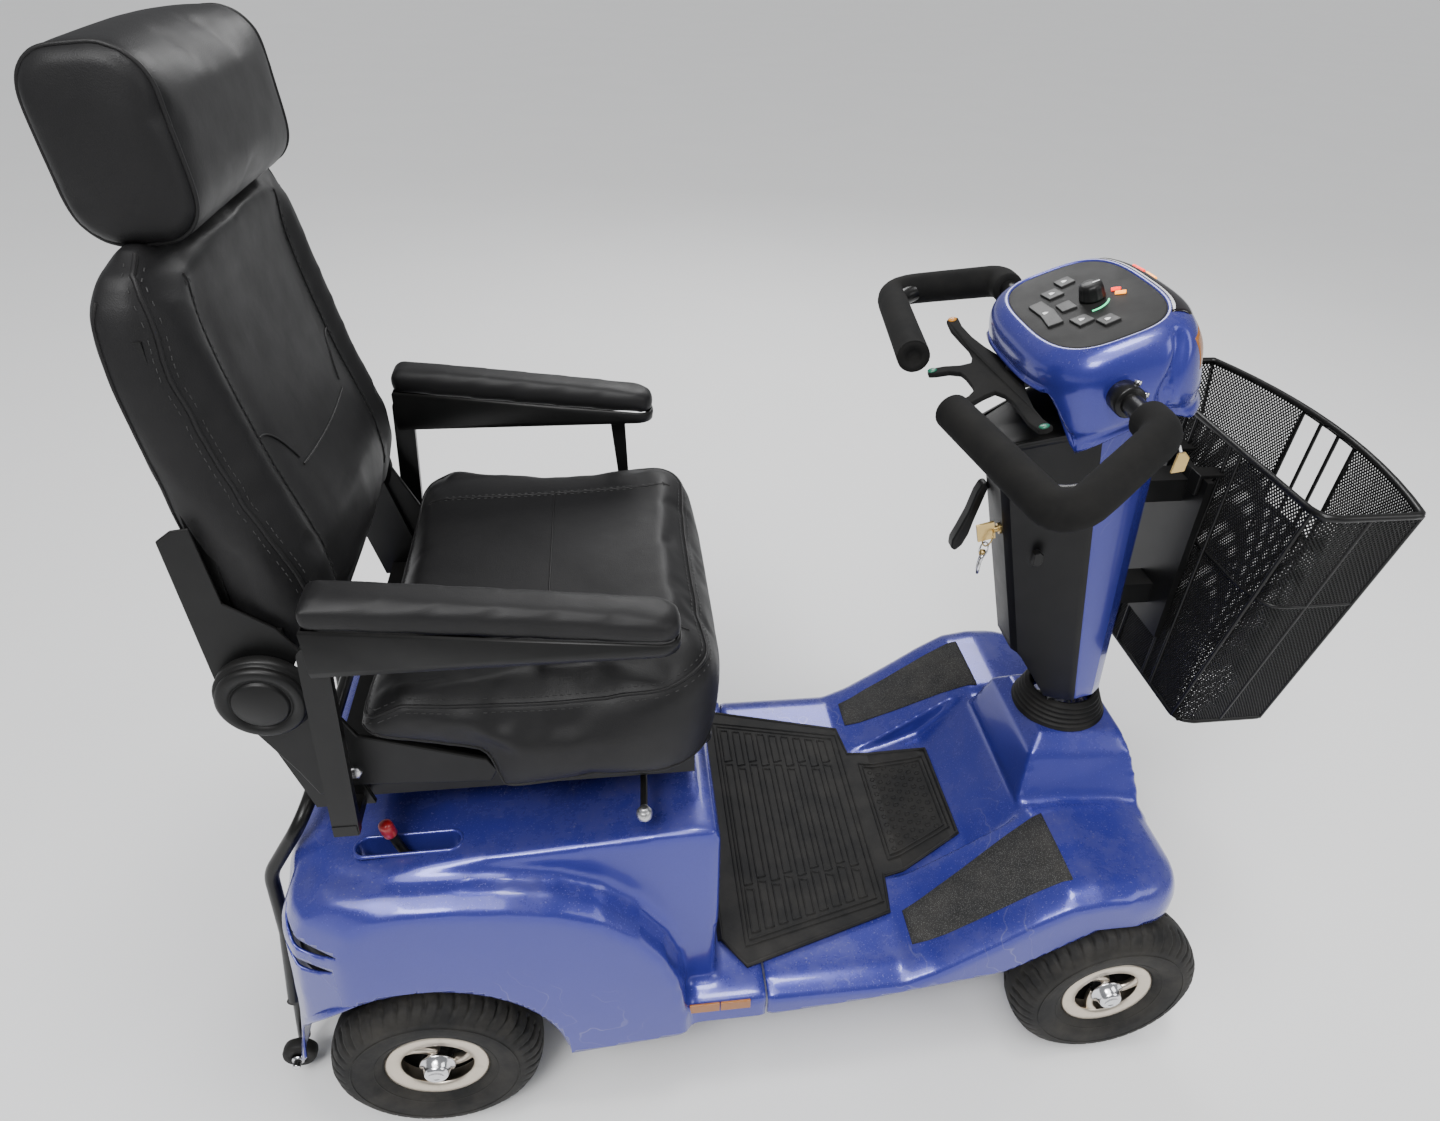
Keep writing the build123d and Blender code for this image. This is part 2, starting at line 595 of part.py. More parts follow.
def swivel_lever():
    """Side lever that unlocks the swivel, with its ball end."""
    boss = rod((268, -130, 518), (278, -130, 518), 7)
    arm = rod((273, -130, 518), (271, -246, 512), 4)
    ball = Pos(271, -246, 512) * Sphere(9)
    return fuse(boss, arm, ball) - rod((260, -130, 518), (290, -130, 518), 3 + RUNNING_FIT)


def seat_frame():
    """Seat pan with upper slides, recline brackets and the armrest posts."""
    pieces = [block(-60, 330, -205, 205, 530, 535)]
    pieces += both(block(20, 262, 98, 122, 515.5, 530))
    pieces += both(block(-40, 330, 190, 205, 535, 553))
    pieces += [block(-60, -20, -222, 222, 535, 553), block(310, 330, -205, 205, 535, 553)]
    bracket = [(-72, 535), (-12, 535), (-52, 690), (-58, 722), (-106, 722), (-110, 690)]
    pieces += both(prism_y(bracket, 216, 222))
    pieces += both(rod((RECLINE_X, 205, RECLINE_Z), (RECLINE_X, 222, RECLINE_Z), 8))
    pieces += both(block(-45, -21, 220, 267, 537, 551))
    post_sides = [(-46, 537), (-20, 537), (ARM_PIVOT_X + 13, ARM_PIVOT_Z), (ARM_PIVOT_X - 13, ARM_PIVOT_Z)]
    post = prism_y(post_sides, 256, 266)
    top = rod((ARM_PIVOT_X, 256, ARM_PIVOT_Z), (ARM_PIVOT_X, 266, ARM_PIVOT_Z), 13)
    pin = rod((ARM_PIVOT_X, 247, ARM_PIVOT_Z), (ARM_PIVOT_X, 271, ARM_PIVOT_Z), 5)
    pieces += both(fuse(post, top, pin))
    pieces += both(block(311, 321, 104, 108, 519, 531))
    pieces += both(rod((316, 106, 524), (316, 120, 524), 3))
    return fuse(*pieces)


def slide_bar():
    """Wire bar under the front edge that frees the seat slides."""
    half = [(316, 118, 524), (316, 150, 524), (352, 150, 521)]
    path = half + [(x, -y, z) for x, y, z in reversed(half)]
    body = fuse(tube_along(path, 12, 4), *both(rod((316, 108.5, 524), (316, 121, 524), 5.5)))
    for pin_hole in both(rod((316, 100, 524), (316, 122, 524), 3 + RUNNING_FIT)):
        body = body - pin_hole
    return body


def seat_cushion():
    """Seat pad: deep middle, with sides cut away over the recline covers."""
    top = [(-12, 655), (20, 690), (335, 690), (357, 668), (357, 600), (345, 557)]
    middle = prism_y([*top, (-12, 557)], -214, 214)
    edge = prism_y([*top, (128, 557), (118, 606), (-12, 646)], 214, SEAT_HALF)
    return fuse(middle, *both(edge))


def seat_side_covers():
    """Hard plastic covers over the recline hinges and the pan's rear corners."""
    outline = [
        (-126, 700), (-71, 591), (-61, 558), (-31, 572), (115, 560), (112, 596), (-14, 641), (-40, 700),
    ]
    plate = prism_y(outline, 223, 231)
    disc = rod((RECLINE_X, 223, RECLINE_Z), (RECLINE_X, 244, RECLINE_Z), 45)
    cap = rod((RECLINE_X, 244, RECLINE_Z), (RECLINE_X, 252, RECLINE_Z), 28)
    return both(fuse(plate, disc, cap))


def back_bars(grow):
    """Flat bars of the backrest, grown for the hollow that they sit in."""
    bars = [block(-112 - grow, -96 + grow, 190 - grow, 206 + grow, 700, 1040 + grow)]
    bars.append(block(-112 - grow, -96 + grow, -206 - grow, -190 + grow, 700, 1040 + grow))
    bars.append(block(-112 - grow, -96 + grow, -195, 195, 1024 - grow, 1040 + grow))
    bars.append(block(-112 - grow, -96 + grow, -195, 195, 700, 716 + grow))
    return fuse(*bars)


HEADREST_POST = (-104, 60)


def backrest_frame():
    """Backrest bars with the recline plates and the headrest guides."""
    plates = []
    for plate in both(block(-112, -58, 206, 214.5, 680, 762)):
        plates.append(plate)
    frame = fuse(back_bars(0), *plates)
    post_x, post_y = HEADREST_POST
    for y in (1, -1):
        frame = frame - rod((RECLINE_X, 200 * y, RECLINE_Z), (RECLINE_X, 216 * y, RECLINE_Z), 8 + RUNNING_FIT)
        frame = frame - rod((post_x, post_y * y, 1000), (post_x, post_y * y, 1060), 6 + RUNNING_FIT)
    return frame


def backrest_cushion():
    """Backrest pad with hollows for its bars, recline plates and headrest posts."""
    outline = [
        (-120, 712), (-22, 712), (-20, 800), (-45, 914), (-60, 1060), (-72, 1085),
        (-118, 1085), (-138, 1050), (-132, 868),
    ]
    pad = prism_y(outline, -BACK_HALF, BACK_HALF) - back_bars(0.3)
    for notch in both(block(-130, -40, 205.7, 216, 660, 790)):
        pad = pad - notch
    post_x, post_y = HEADREST_POST
    for y in (1, -1):
        pad = pad - rod((post_x, post_y * y, 925), (post_x, post_y * y, 1100), 7.5)
    return largest(pad)


def headrest_posts():
    """Two steel posts joined by a bar inside the headrest."""
    x, y = HEADREST_POST
    posts = [rod((x, side * y, 935), (x, side * y, 1160), 6) for side in (1, -1)]
    return fuse(*posts, block(x - 4, x + 4, -y, y, 1150, 1160))


def headrest_cushion():
    """Barrel-shaped headrest pad."""
    section = RectangleRounded(98, 144, 38)
    pad = Pos(-101, 150, 1164) * Rot(0, -5, 0) * extrude(Plane.XZ * section, amount=300)
    x, y = HEADREST_POST
    hollow = block(x - 4.3, x + 4.3, -y - 4.3, y + 4.3, 1149.7, 1160.3)
    for side in (1, -1):
        hollow = hollow + rod((x, side * y, 1080), (x, side * y, 1160.4), 6.3)
    return pad - hollow


ARM_SEAM = [(-20, 807), (313, 767)]


def armrest_case():
    """Left armrest's hard lower case, slotted for its post."""
    case = prism_y([(-20, 754), (313, 750), *reversed(ARM_SEAM)], ARM_INNER, ARM_OUTER)
    case = case - block(-60, ARM_PIVOT_X + 13.5, 255, 267, 700, ARM_PIVOT_Z + 13.5)
    return case - rod((ARM_PIVOT_X, 246.5, ARM_PIVOT_Z), (ARM_PIVOT_X, 271.5, ARM_PIVOT_Z), 5 + RUNNING_FIT)


def armrest_pad():
    """Left armrest's padded top."""
    (x0, z0), (x1, z1) = ARM_SEAM
    outline = [(x0, z0 + 0.3), (x1, z1 + 0.3), (x1, z1 + 12), (x1 - 14, z1 + 28), (x0, z0 + 25)]
    return prism_y(outline, ARM_INNER, ARM_OUTER)


def controller_box():
    """Motor controller with cooling fins."""
    fins = [block(-136 + 12 * i, -132 + 12 * i, -44, 44, 205, 213) for i in range(6)]
    return fuse(block(-140, -66, -45, 45, 175, 206), *fins)


def main():
    os.makedirs("parts", exist_ok=True)
    wheels()
    save("main_frame", main_frame())
    save("tie_rod", tie_rod())
    save("drive_transaxle", drive_transaxle())
    save("batteries", batteries())
    save("controller_box", controller_box())
    save("rear_guard_frame", rear_guard_frame())
    save("rear_shroud", rear_shroud())
    save("front_shroud", front_shroud())
    save("floor_mat", floor_mat())
    save("fender_pads", fender_pads())
    save("side_reflectors", side_reflectors())
    save("freewheel_lever", freewheel_lever())
    save("steering_shaft", steering_shaft())
    save("steering_boot", steering_boot())
    save("tiller_frame", tiller_frame())
    rear_cover, front_cover = column_covers()
    save("column_rear_cover", rear_cover)
    save("column_front_cover", front_cover)
    save("ignition_key", ignition_key())
    save("tilt_lever", tilt_lever())
    save("handlebar", handlebar())
    save("wigwag_lever", wigwag_lever())
    save("console_shell", console_shell())
    save("console_panel", console_panel())
    for name, size in KEYS.items():
        save(name, console_key(*size))
    save("speed_knob", speed_knob())
    save("basket_bracket", basket_bracket())
    save("basket", basket())
    save("seat_post", seat_post())
    save("swivel_plate", swivel_plate())
    save("swivel_lever", swivel_lever())
    save("seat_frame", seat_frame())
    save("slide_release_bar", slide_bar())
    save("seat_cushion", seat_cushion())
    save("seat_side_covers", seat_side_covers())
    save("backrest_frame", backrest_frame())
    save("backrest_cushion", backrest_cushion())
    save("headrest_posts", headrest_posts())
    save("headrest_cushion", headrest_cushion())
    save("hand_grips", both(grips()))
    for side in SIDES:
        save(f"steering_knuckle_{side}", at_side(knuckle(), side))
        save(f"anti_tip_roller_{side}", at_side(anti_tip_roller(), side))
        save(f"armrest_case_{side}", at_side(armrest_case(), side))
        save(f"armrest_pad_{side}", at_side(armrest_pad(), side))


main()
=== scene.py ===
import math
import random

import bmesh
import bpy
from mathutils import Matrix, Vector


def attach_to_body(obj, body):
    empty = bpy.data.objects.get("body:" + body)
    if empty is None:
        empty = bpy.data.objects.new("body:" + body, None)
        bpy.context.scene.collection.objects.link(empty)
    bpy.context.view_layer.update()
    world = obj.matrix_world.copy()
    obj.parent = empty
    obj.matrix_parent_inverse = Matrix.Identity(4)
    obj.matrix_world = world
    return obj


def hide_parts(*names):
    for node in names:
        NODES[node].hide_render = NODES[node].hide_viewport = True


# The mobility scooter's looks. Points are written in millimetres from the rear axle: X forward, Y to
# the rider's left, Z up from the floor. P() turns them into the frame's metres.

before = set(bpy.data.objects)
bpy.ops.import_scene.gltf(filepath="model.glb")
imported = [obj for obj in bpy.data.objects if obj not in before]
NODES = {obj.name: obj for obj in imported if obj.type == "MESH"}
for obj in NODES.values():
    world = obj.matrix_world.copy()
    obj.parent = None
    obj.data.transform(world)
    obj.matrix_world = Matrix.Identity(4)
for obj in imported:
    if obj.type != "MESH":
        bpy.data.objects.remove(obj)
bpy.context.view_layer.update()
ORIGIN_X = 452.0
WHEELBASE, TRACK_HALF, AXLE_Z = 889.0, 262.0, 130.0
SHELL_WALL = 3.0
ARCH_RADIUS = 168
COLUMN_X = 873
BAR_X, BAR_Z = 762, 942
LEVER_SLOT = (8.5, -216)
SIDES = ((1, "left"), (-1, "right"))
SEED = random.Random(7)
PI = math.pi


def P(x, y, z):
    return Vector(((x - ORIGIN_X) / 1000, y / 1000, z / 1000))


# ---- materials ----
class Nodes:
    """A small helper round one material's node tree."""

    def __init__(self, name):
        self.mat = bpy.data.materials.new(name)
        self.mat.use_nodes = True
        self.tree = self.mat.node_tree
        self.bsdf = self.tree.nodes["Principled BSDF"]
        self.coords = self.add("ShaderNodeTexCoord").outputs["Object"]

    def add(self, kind, **inputs):
        node = self.tree.nodes.new(kind)
        for key, value in inputs.items():
            self.feed(node.inputs[key.replace("_", " ")], value)
        return node

    def feed(self, socket, value):
        """Links a socket to another node's output, or sets its number or colour."""
        if hasattr(value, "is_output"):
            self.tree.links.new(value, socket)
        else:
            socket.default_value = (*value, 1) if isinstance(value, tuple) else value

    def noise(self, scale, detail=4.0, rough=0.55):
        node = self.add("ShaderNodeTexNoise", Vector=self.coords, Scale=scale, Detail=detail, Roughness=rough)
        return node.outputs["Fac"]

    def cells(self, scale):
        return self.add("ShaderNodeTexVoronoi", Vector=self.coords, Scale=scale).outputs["Distance"]

    def ramp(self, source, low, high):
        node = self.add("ShaderNodeMapRange", Value=source)
        node.inputs["From Min"].default_value = low
        node.inputs["From Max"].default_value = high
        return node.outputs["Result"]

    def mix(self, factor, first, second):
        node = self.add("ShaderNodeMix")
        node.data_type = "RGBA"
        self.feed(node.inputs[0], factor)
        self.feed(node.inputs[6], first)
        self.feed(node.inputs[7], second)
        return node.outputs[2]

    def times(self, a, b, operation="MULTIPLY"):
        node = self.add("ShaderNodeMath")
        node.operation = operation
        self.feed(node.inputs[0], a)
        self.feed(node.inputs[1], b)
        return node.outputs[0]

    def up_facing(self):
        """How far the surface faces up, from 0 to 1."""
        normal = self.add("ShaderNodeNewGeometry").outputs["Normal"]
        split = self.add("ShaderNodeSeparateXYZ", Vector=normal)
        return self.ramp(split.outputs["Z"], 0.25, 0.95)

    def edge(self):
        """Bright on sharp outward edges, for wear."""
        point = self.add("ShaderNodeNewGeometry").outputs["Pointiness"]
        return self.ramp(point, 0.53, 0.62)

    def bump(self, height, distance, strength=1.0, under=None):
        node = self.add("ShaderNodeBump", Height=height, Distance=distance, Strength=strength)
        if under is not None:
            self.feed(node.inputs["Normal"], under)
        return node.outputs["Normal"]

    def finish(self, color, rough, metallic=0.0, normal=None, coat=0.0, specular=0.5, coat_rough=0.08):
        self.feed(self.bsdf.inputs["Base Color"], color)
        self.feed(self.bsdf.inputs["Roughness"], rough)
        self.bsdf.inputs["Metallic"].default_value = metallic
        self.bsdf.inputs["Specular IOR Level"].default_value = specular
        self.bsdf.inputs["Coat Weight"].default_value = coat
        self.bsdf.inputs["Coat Roughness"].default_value = coat_rough
        if normal is not None:
            self.feed(self.bsdf.inputs["Normal"], normal)
        return self.mat


def paint_blue():
    m = Nodes("metallic_blue")
    flake = m.cells(2600.0)
    tone = m.mix(m.noise(5.0), (0.024, 0.026, 0.235), (0.040, 0.043, 0.31))
    tone = m.mix(m.ramp(flake, 0.1, 0.5), (0.06, 0.075, 0.42), tone)
    dust = m.times(m.up_facing(), m.ramp(m.noise(16.0, 8.0, 0.7), 0.42, 0.8))
    specks = m.times(m.up_facing(), m.ramp(m.noise(420.0, 2.0), 0.64, 0.72))
    layer = m.times(m.times(dust, 0.22), m.times(specks, 0.35), "ADD")
    color = m.mix(layer, tone, (0.30, 0.29, 0.36))
    wave = m.add("ShaderNodeTexWave", Vector=m.coords, Scale=9.0, Distortion=24.0, Detail=3.0)
    scratch = m.times(m.ramp(wave.outputs["Fac"], 0.985, 1.0), m.ramp(m.noise(3.0), 0.55, 0.7))
    color = m.mix(m.times(scratch, 0.35), color, (0.5, 0.5, 0.6))
    rough = m.times(m.times(layer, 0.5), 0.25, "ADD")
    return m.finish(color, rough, 0.38, m.bump(m.noise(60.0), 0.0002, 0.3), 0.45, 0.5, 0.06)


def vinyl():
    m = Nodes("black_vinyl")
    grain = m.bump(m.cells(900.0), 0.00018, 0.55)
    folds = m.bump(m.noise(13.0, 5.0, 0.6), 0.0025, 0.30, grain)
    tone = m.mix(m.noise(7.0), (0.004, 0.004, 0.0045), (0.010, 0.0095, 0.010))
    worn = m.mix(m.times(m.edge(), 0.25), tone, (0.03, 0.028, 0.026))
    rough = m.ramp(m.noise(20.0), -1.2, 2.0)
    return m.finish(worn, rough, 0.0, folds, 0.05, 0.3, 0.35)


def plastic_black(name="black_plastic", base=0.012, rough=0.42, grain=1500.0):
    m = Nodes(name)
    tone = m.mix(m.noise(24.0), (base * 0.7,) * 3, (base * 1.5,) * 3)
    dusty = m.mix(m.times(m.times(m.up_facing(), m.noise(60.0, 6.0)), 0.05), tone, (0.16, 0.15, 0.14))
    value = m.times(m.times(m.noise(40.0), 0.16), rough - 0.08, "ADD")
    return m.finish(dusty, value, 0.0, m.bump(m.cells(grain), 0.0001, 0.35), 0.0, 0.28)


def rubber(name, base, dust, rough=0.8, speck=0.0):
    m = Nodes(name)
    tone = m.mix(m.noise(70.0, 8.0, 0.7), (base * 0.6,) * 3, (base * 1.4,) * 3)
    film = m.ramp(m.noise(18.0, 6.0, 0.65), 0.4, 0.75)
    color = m.mix(m.times(film, dust), tone, (0.20, 0.18, 0.15))
    if speck:
        dots = m.ramp(m.cells(700.0), 0.32, 0.12)
        color = m.mix(m.times(dots, speck), color, (0.32, 0.32, 0.31))
    normal = m.bump(m.noise(900.0, 3.0), 0.0003 if not speck else 0.0009, 0.6)
    return m.finish(color, rough, 0.0, normal, 0.0, 0.25)


def metal(name, base, rough, brushed=0.0):
    m = Nodes(name)
    tone = m.mix(m.noise(30.0), tuple(c * 0.85 for c in base), base)
    value = m.times(m.times(m.noise(180.0, 6.0), 0.18), rough - 0.05, "ADD")
    grimy = m.mix(m.times(m.ramp(m.noise(90.0), 0.55, 0.8), 0.25), tone, tuple(c * 0.35 for c in base))
    return m.finish(grimy, value, 1.0, m.bump(m.noise(500.0 + 900 * brushed), 0.0001, 0.3))


def glow(name, base, strength):
    m = Nodes(name)
    m.bsdf.inputs["Emission Color"].default_value = (*base, 1)
    m.bsdf.inputs["Emission Strength"].default_value = strength
    return m.finish(m.mix(m.noise(90.0), tuple(c * 0.7 for c in base), base), 0.3)


def gloss(name, base, rough=0.15):
    m = Nodes(name)
    tone = m.mix(m.noise(140.0), tuple(c * 0.8 for c in base), base)
    return m.finish(tone, rough, 0.0, m.bump(m.cells(420.0), 0.0002, 0.25), 0.4)


BLUE = paint_blue()
VINYL = vinyl()
BLACK = plastic_black(base=0.006)
PANEL = plastic_black("panel_dark", 0.005, 0.6, 2500.0)
KEY = plastic_black("key_plastic", 0.026, 0.45, 2500.0)
FOAM = rubber("foam_black", 0.005, 0.03, 0.9)
MAT = rubber("mat_rubber", 0.008, 0.07, 0.6)
TYRE = rubber("tyre_rubber", 0.009, 0.14, 0.68)
GRIT = rubber("grit_grey", 0.024, 0.10, 0.9, 0.5)
STEEL_BLACK = plastic_black("steel_black", 0.006, 0.32, 800.0)
RIM = metal("rim_champagne", (0.74, 0.66, 0.55), 0.30)
CHROME = metal("chrome", (0.86, 0.86, 0.88), 0.12)
STEEL = metal("steel_plated", (0.62, 0.62, 0.63), 0.32, 1.0)
BRASS = metal("brass", (0.72, 0.52, 0.22), 0.3)
CAST = metal("drive_cast", (0.20, 0.20, 0.21), 0.6)
RED = gloss("red_tip", (0.42, 0.015, 0.02), 0.3)
AMBER = gloss("reflector_amber", (0.34, 0.115, 0.012), 0.25)
LENS = gloss("lamp_dark", (0.006, 0.003, 0.004), 0.05)
WHITE = gloss("icon_white", (0.75, 0.75, 0.75), 0.5)
GREEN = gloss("tip_green", (0.008, 0.15, 0.085), 0.45)
ORANGE = gloss("tip_orange", (0.62, 0.25, 0.02), 0.45)
GLOW_RED = glow("led_red", (1.0, 0.02, 0.004), 2.6)
GLOW_AMBER = glow("led_amber", (1.0, 0.34, 0.015), 3.4)
GLOW_GREEN = glow("led_green", (0.05, 0.8, 0.35), 1.5)
THREAD = plastic_black("thread_grey", 0.035, 0.6, 3000.0)

# The record's slot for each material. Lamps, marks and paddle tips have none.
SLOTS = {
    BLUE.name: "blue_body", VINYL.name: "vinyl_black", BLACK.name: "black_plastic",
    PANEL.name: "panel_dark", KEY.name: "key_plastic", FOAM.name: "foam_black", MAT.name: "rubber_black",
    TYRE.name: "tyre_rubber", GRIT.name: "grit_grey", STEEL_BLACK.name: "steel_black",
    RIM.name: "rim_alloy", CHROME.name: "steel_bright", STEEL.name: "steel_bright",
    BRASS.name: "steel_bright", RED.name: "lever_red", AMBER.name: "reflector_amber",
    THREAD.name: "vinyl_black",
}


# ---- mesh helpers ----
def attach(obj, mat, body, slot):
    """Links a piece, and gives it its material and the body it rides on."""
    bpy.context.scene.collection.objects.link(obj)
    obj.data.materials.append(mat)
    slot = slot or SLOTS.get(mat.name)
    if body:
        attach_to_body(obj, body)
    return obj


def add_object(name, mesh, mat, body, slot=None, smooth=True):
    if smooth:
        mesh.shade_smooth()
    return attach(bpy.data.objects.new(name, mesh), mat, body, slot)


def from_points(points, faces):
    mesh = bpy.data.meshes.new("mesh")
    mesh.from_pydata([tuple(P(*p)) for p in points], [], faces)
    mesh.update()
    return mesh


def rings_mesh(rings, closed=True, caps=True):
    """A skin over rings that all have the same number of points."""
    count = len(rings[0])
    points = [p for ring in rings for p in ring]
    faces = []
    for i in range(len(rings) - 1):
        for j in range(count if closed else count - 1):
            k = (j + 1) % count
            faces.append((i * count + j, i * count + k, (i + 1) * count + k, (i + 1) * count + j))
    if caps:
        faces.append(tuple(reversed(range(count))))
        faces.append(tuple((len(rings) - 1) * count + j for j in range(count)))
    return from_points(points, faces)


def fix_normals(mesh):
    b = bmesh.new()
    b.from_mesh(mesh)
    bmesh.ops.recalc_face_normals(b, faces=b.faces)
    b.to_mesh(mesh)
    b.free()
    return mesh


def ring_object(name, rings, mat, body, slot=None, smooth=True, closed=True, caps=True):
    """A piece whose skin runs over rings of points."""
    return add_object(name, fix_normals(rings_mesh(rings, closed, caps)), mat, body, slot, smooth)


def angles(count):
    """Even steps of a whole turn."""
    return [2 * PI * i / count for i in range(count)]


def rounded(width, height, radius, steps=6):
    """A rounded rectangle about the origin, as (u, v) pairs."""
    out = []
    for cx, cy, start in ((1, 1, 0), (-1, 1, 90), (-1, -1, 180), (1, -1, 270)):
        for i in range(steps + 1):
            a = math.radians(start + 90 * i / steps)
            u = cx * (width / 2 - radius) + radius * math.cos(a)
            out.append((u, cy * (height / 2 - radius) + radius * math.sin(a)))
    return out


def between(pairs, x):
    """Linear interpolation through (x, value) pairs."""
    if x <= pairs[0][0]:
        return pairs[0][1]
    for (x0, v0), (x1, v1) in zip(pairs, pairs[1:]):
        if x <= x1:
            return v0 + (v1 - v0) * (x - x0) / (x1 - x0)
    return pairs[-1][1]


def ease(pairs, x):
    """The same with smooth turns."""
    if x <= pairs[0][0]:
        return pairs[0][1]
    for (x0, v0), (x1, v1) in zip(pairs, pairs[1:]):
        if x <= x1:
            t = (x - x0) / (x1 - x0)
            return v0 + (v1 - v0) * t * t * (3 - 2 * t)
    return pairs[-1][1]


def prism(name, outline, y0, y1, mat, body, bevel=0.0, slot=None, axis="y"):
    """An outline pushed out along an axis, with rounded edges."""
    if axis == "y":
        rings = [[(u, y, v) for u, v in outline] for y in (y0, y1)]
    elif axis == "z":
        rings = [[(u, v, z) for u, v in outline] for z in (y0, y1)]
    else:
        rings = [[(x, u, v) for u, v in outline] for x in (y0, y1)]
    obj = ring_object(name, rings, mat, body, slot, smooth=False)
    return round_edges(obj, bevel) if bevel else obj


def round_edges(obj, width, segments=3, angle=28):
    mod = obj.modifiers.new("round", "BEVEL")
    mod.width = width / 1000
    mod.segments = segments
    mod.limit_method = "ANGLE"
    mod.angle_limit = math.radians(angle)
    mod.harden_normals = True
    obj.data.shade_smooth()
    return obj


def tube(name, points, radius, mat, body, slot=None, smooth_path=False, closed=False, sides=6):
    """A round bar along points."""
    curve = bpy.data.curves.new(name, "CURVE")
    curve.dimensions = "3D"
    curve.bevel_depth = radius / 1000
    curve.bevel_resolution = sides // 2
    curve.use_fill_caps = True
    spline = curve.splines.new("BEZIER" if smooth_path else "POLY")
    if smooth_path:
        spline.bezier_points.add(len(points) - 1)
        for node, p in zip(spline.bezier_points, points):
            node.co = P(*p)
            node.handle_left_type = node.handle_right_type = "AUTO"
    else:
        spline.points.add(len(points) - 1)
        for node, p in zip(spline.points, points):
            node.co = (*P(*p), 1)
    spline.use_cyclic_u = closed
    return attach(bpy.data.objects.new(name, curve), mat, body, slot)


def turned(name, profile, centre, mat, body, slot=None, axis="y", steps=48, sign=1):
    """A profile of (radius, height) pairs turned about an axis through a point."""
    rings = []
    for r, h in profile:
        ring = []
        for a in angles(steps):
            u, v = r * math.cos(a), r * math.sin(a)
            step = {"y": (u, sign * h, v), "z": (u, v, sign * h), "x": (sign * h, u, v)}[axis]
            ring.append(tuple(c + s for c, s in zip(centre, step)))
        rings.append(ring)
    return ring_object(name, rings, mat, body, slot, caps=profile[0] != profile[-1])


def bake(obj):
    """Applies every modifier."""
    graph = bpy.context.evaluated_depsgraph_get()
    mesh = bpy.data.meshes.new_from_object(obj.evaluated_get(graph))
    obj.modifiers.clear()
    obj.data = mesh
    return obj


def join(objects):
    """Several mesh objects as one mesh in the first."""
    b = bmesh.new()
    for obj in objects:
        b.from_mesh(obj.data)
    b.to_mesh(objects[0].data)
    b.free()
    for obj in objects[1:]:
        bpy.data.objects.remove(obj)
    return objects[0]


def melted(objects, voxel, passes):
    """Overlapping solids joined into one smooth skin."""
    obj = join(objects)
    mod = obj.modifiers.new("voxels", "REMESH")
    mod.mode = "VOXEL"
    mod.voxel_size = voxel / 1000
    mod.use_smooth_shade = True
    smooth = obj.modifiers.new("smooth", "SMOOTH")
    smooth.factor = 0.5
    smooth.iterations = passes
    return bake(obj)


def carve(obj, cutters):
    """Cuts the cutters out and leaves the cuts open."""
    hole = bpy.data.materials.new("cut")
    for cutter in cutters:
        cutter.data.materials.clear()
        cutter.data.materials.append(hole)
        mod = obj.modifiers.new("cut", "BOOLEAN")
        mod.operation = "DIFFERENCE"
        mod.solver = "EXACT"
        mod.object = cutter
        mod.material_mode = "TRANSFER"
        bpy.context.view_layer.update()
        bake(obj)
        bpy.data.objects.remove(cutter)
    index = [i for i, m in enumerate(obj.data.materials) if m == hole]
    b = bmesh.new()
    b.from_mesh(obj.data)
    bmesh.ops.delete(b, geom=[f for f in b.faces if f.material_index in index], context="FACES")
    b.to_mesh(obj.data)
    b.free()
    mat = obj.data.materials[0]
    obj.data.materials.clear()
    obj.data.materials.append(mat)
    return obj


def thicken(obj, amount):
    mod = obj.modifiers.new("wall", "SOLIDIFY")
    mod.thickness = amount / 1000
    mod.offset = -1
    obj.data.shade_smooth()
    return obj


def finish_shell(obj, name, node):
    """Gives a carved skin its wall, its name and its place on the chassis."""
    thicken(obj, SHELL_WALL)
    obj.name = name
    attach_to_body(obj, "chassis")
    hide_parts(node)


# ---- body shells ----
def corner_shift(y, half, radius):
    """How far a rounded plan corner draws the end of the body in at that width."""
    over = abs(y) - (half - radius)
    return 0 if over <= 0 else radius - math.sqrt(max(radius * radius - over * over, 0))


def body_block(outline, y_from, y_to, half, rear=None, front=None, shoulder=0.0):
    """An outline carried across the width, with rounded plan corners and a dropped outer edge."""
    steps = 28
    rings = []
    for i in range(steps + 1):
        y = y_from + (y_to - y_from) * i / steps
        ring = []
        for x, z in outline:
            if rear and x < 20:
                x += corner_shift(y, half, rear) * between([(-60, 1), (20, 0)], x)
            if front and x > 880:
                x -= corner_shift(y, half, front) * between([(880, 0), (950, 1)], x)
            drop = shoulder * max(0, (abs(y) - half + 40) / 40) ** 2
            ring.append((x, y, z - (drop if z > 190 else 0)))
        rings.append(ring)
    return ring_object("block", rings, BLUE, None)


CORNER = 74.0
REAR_FACE = 294.5


def rear_end(z):
    """Where the rear body ends at a height."""
    return between([(74, -190), (150, -172), (217, -160), (310, -150), (380, -143), (424, -124)], z)


def side_surface(x, z):
    """The rear body's half width at a point, which falls away round its rear corner."""
    over = rear_end(z) + CORNER - x
    return REAR_FACE if over <= 0 else REAR_FACE - CORNER + math.sqrt(max(CORNER**2 - over**2, 0))


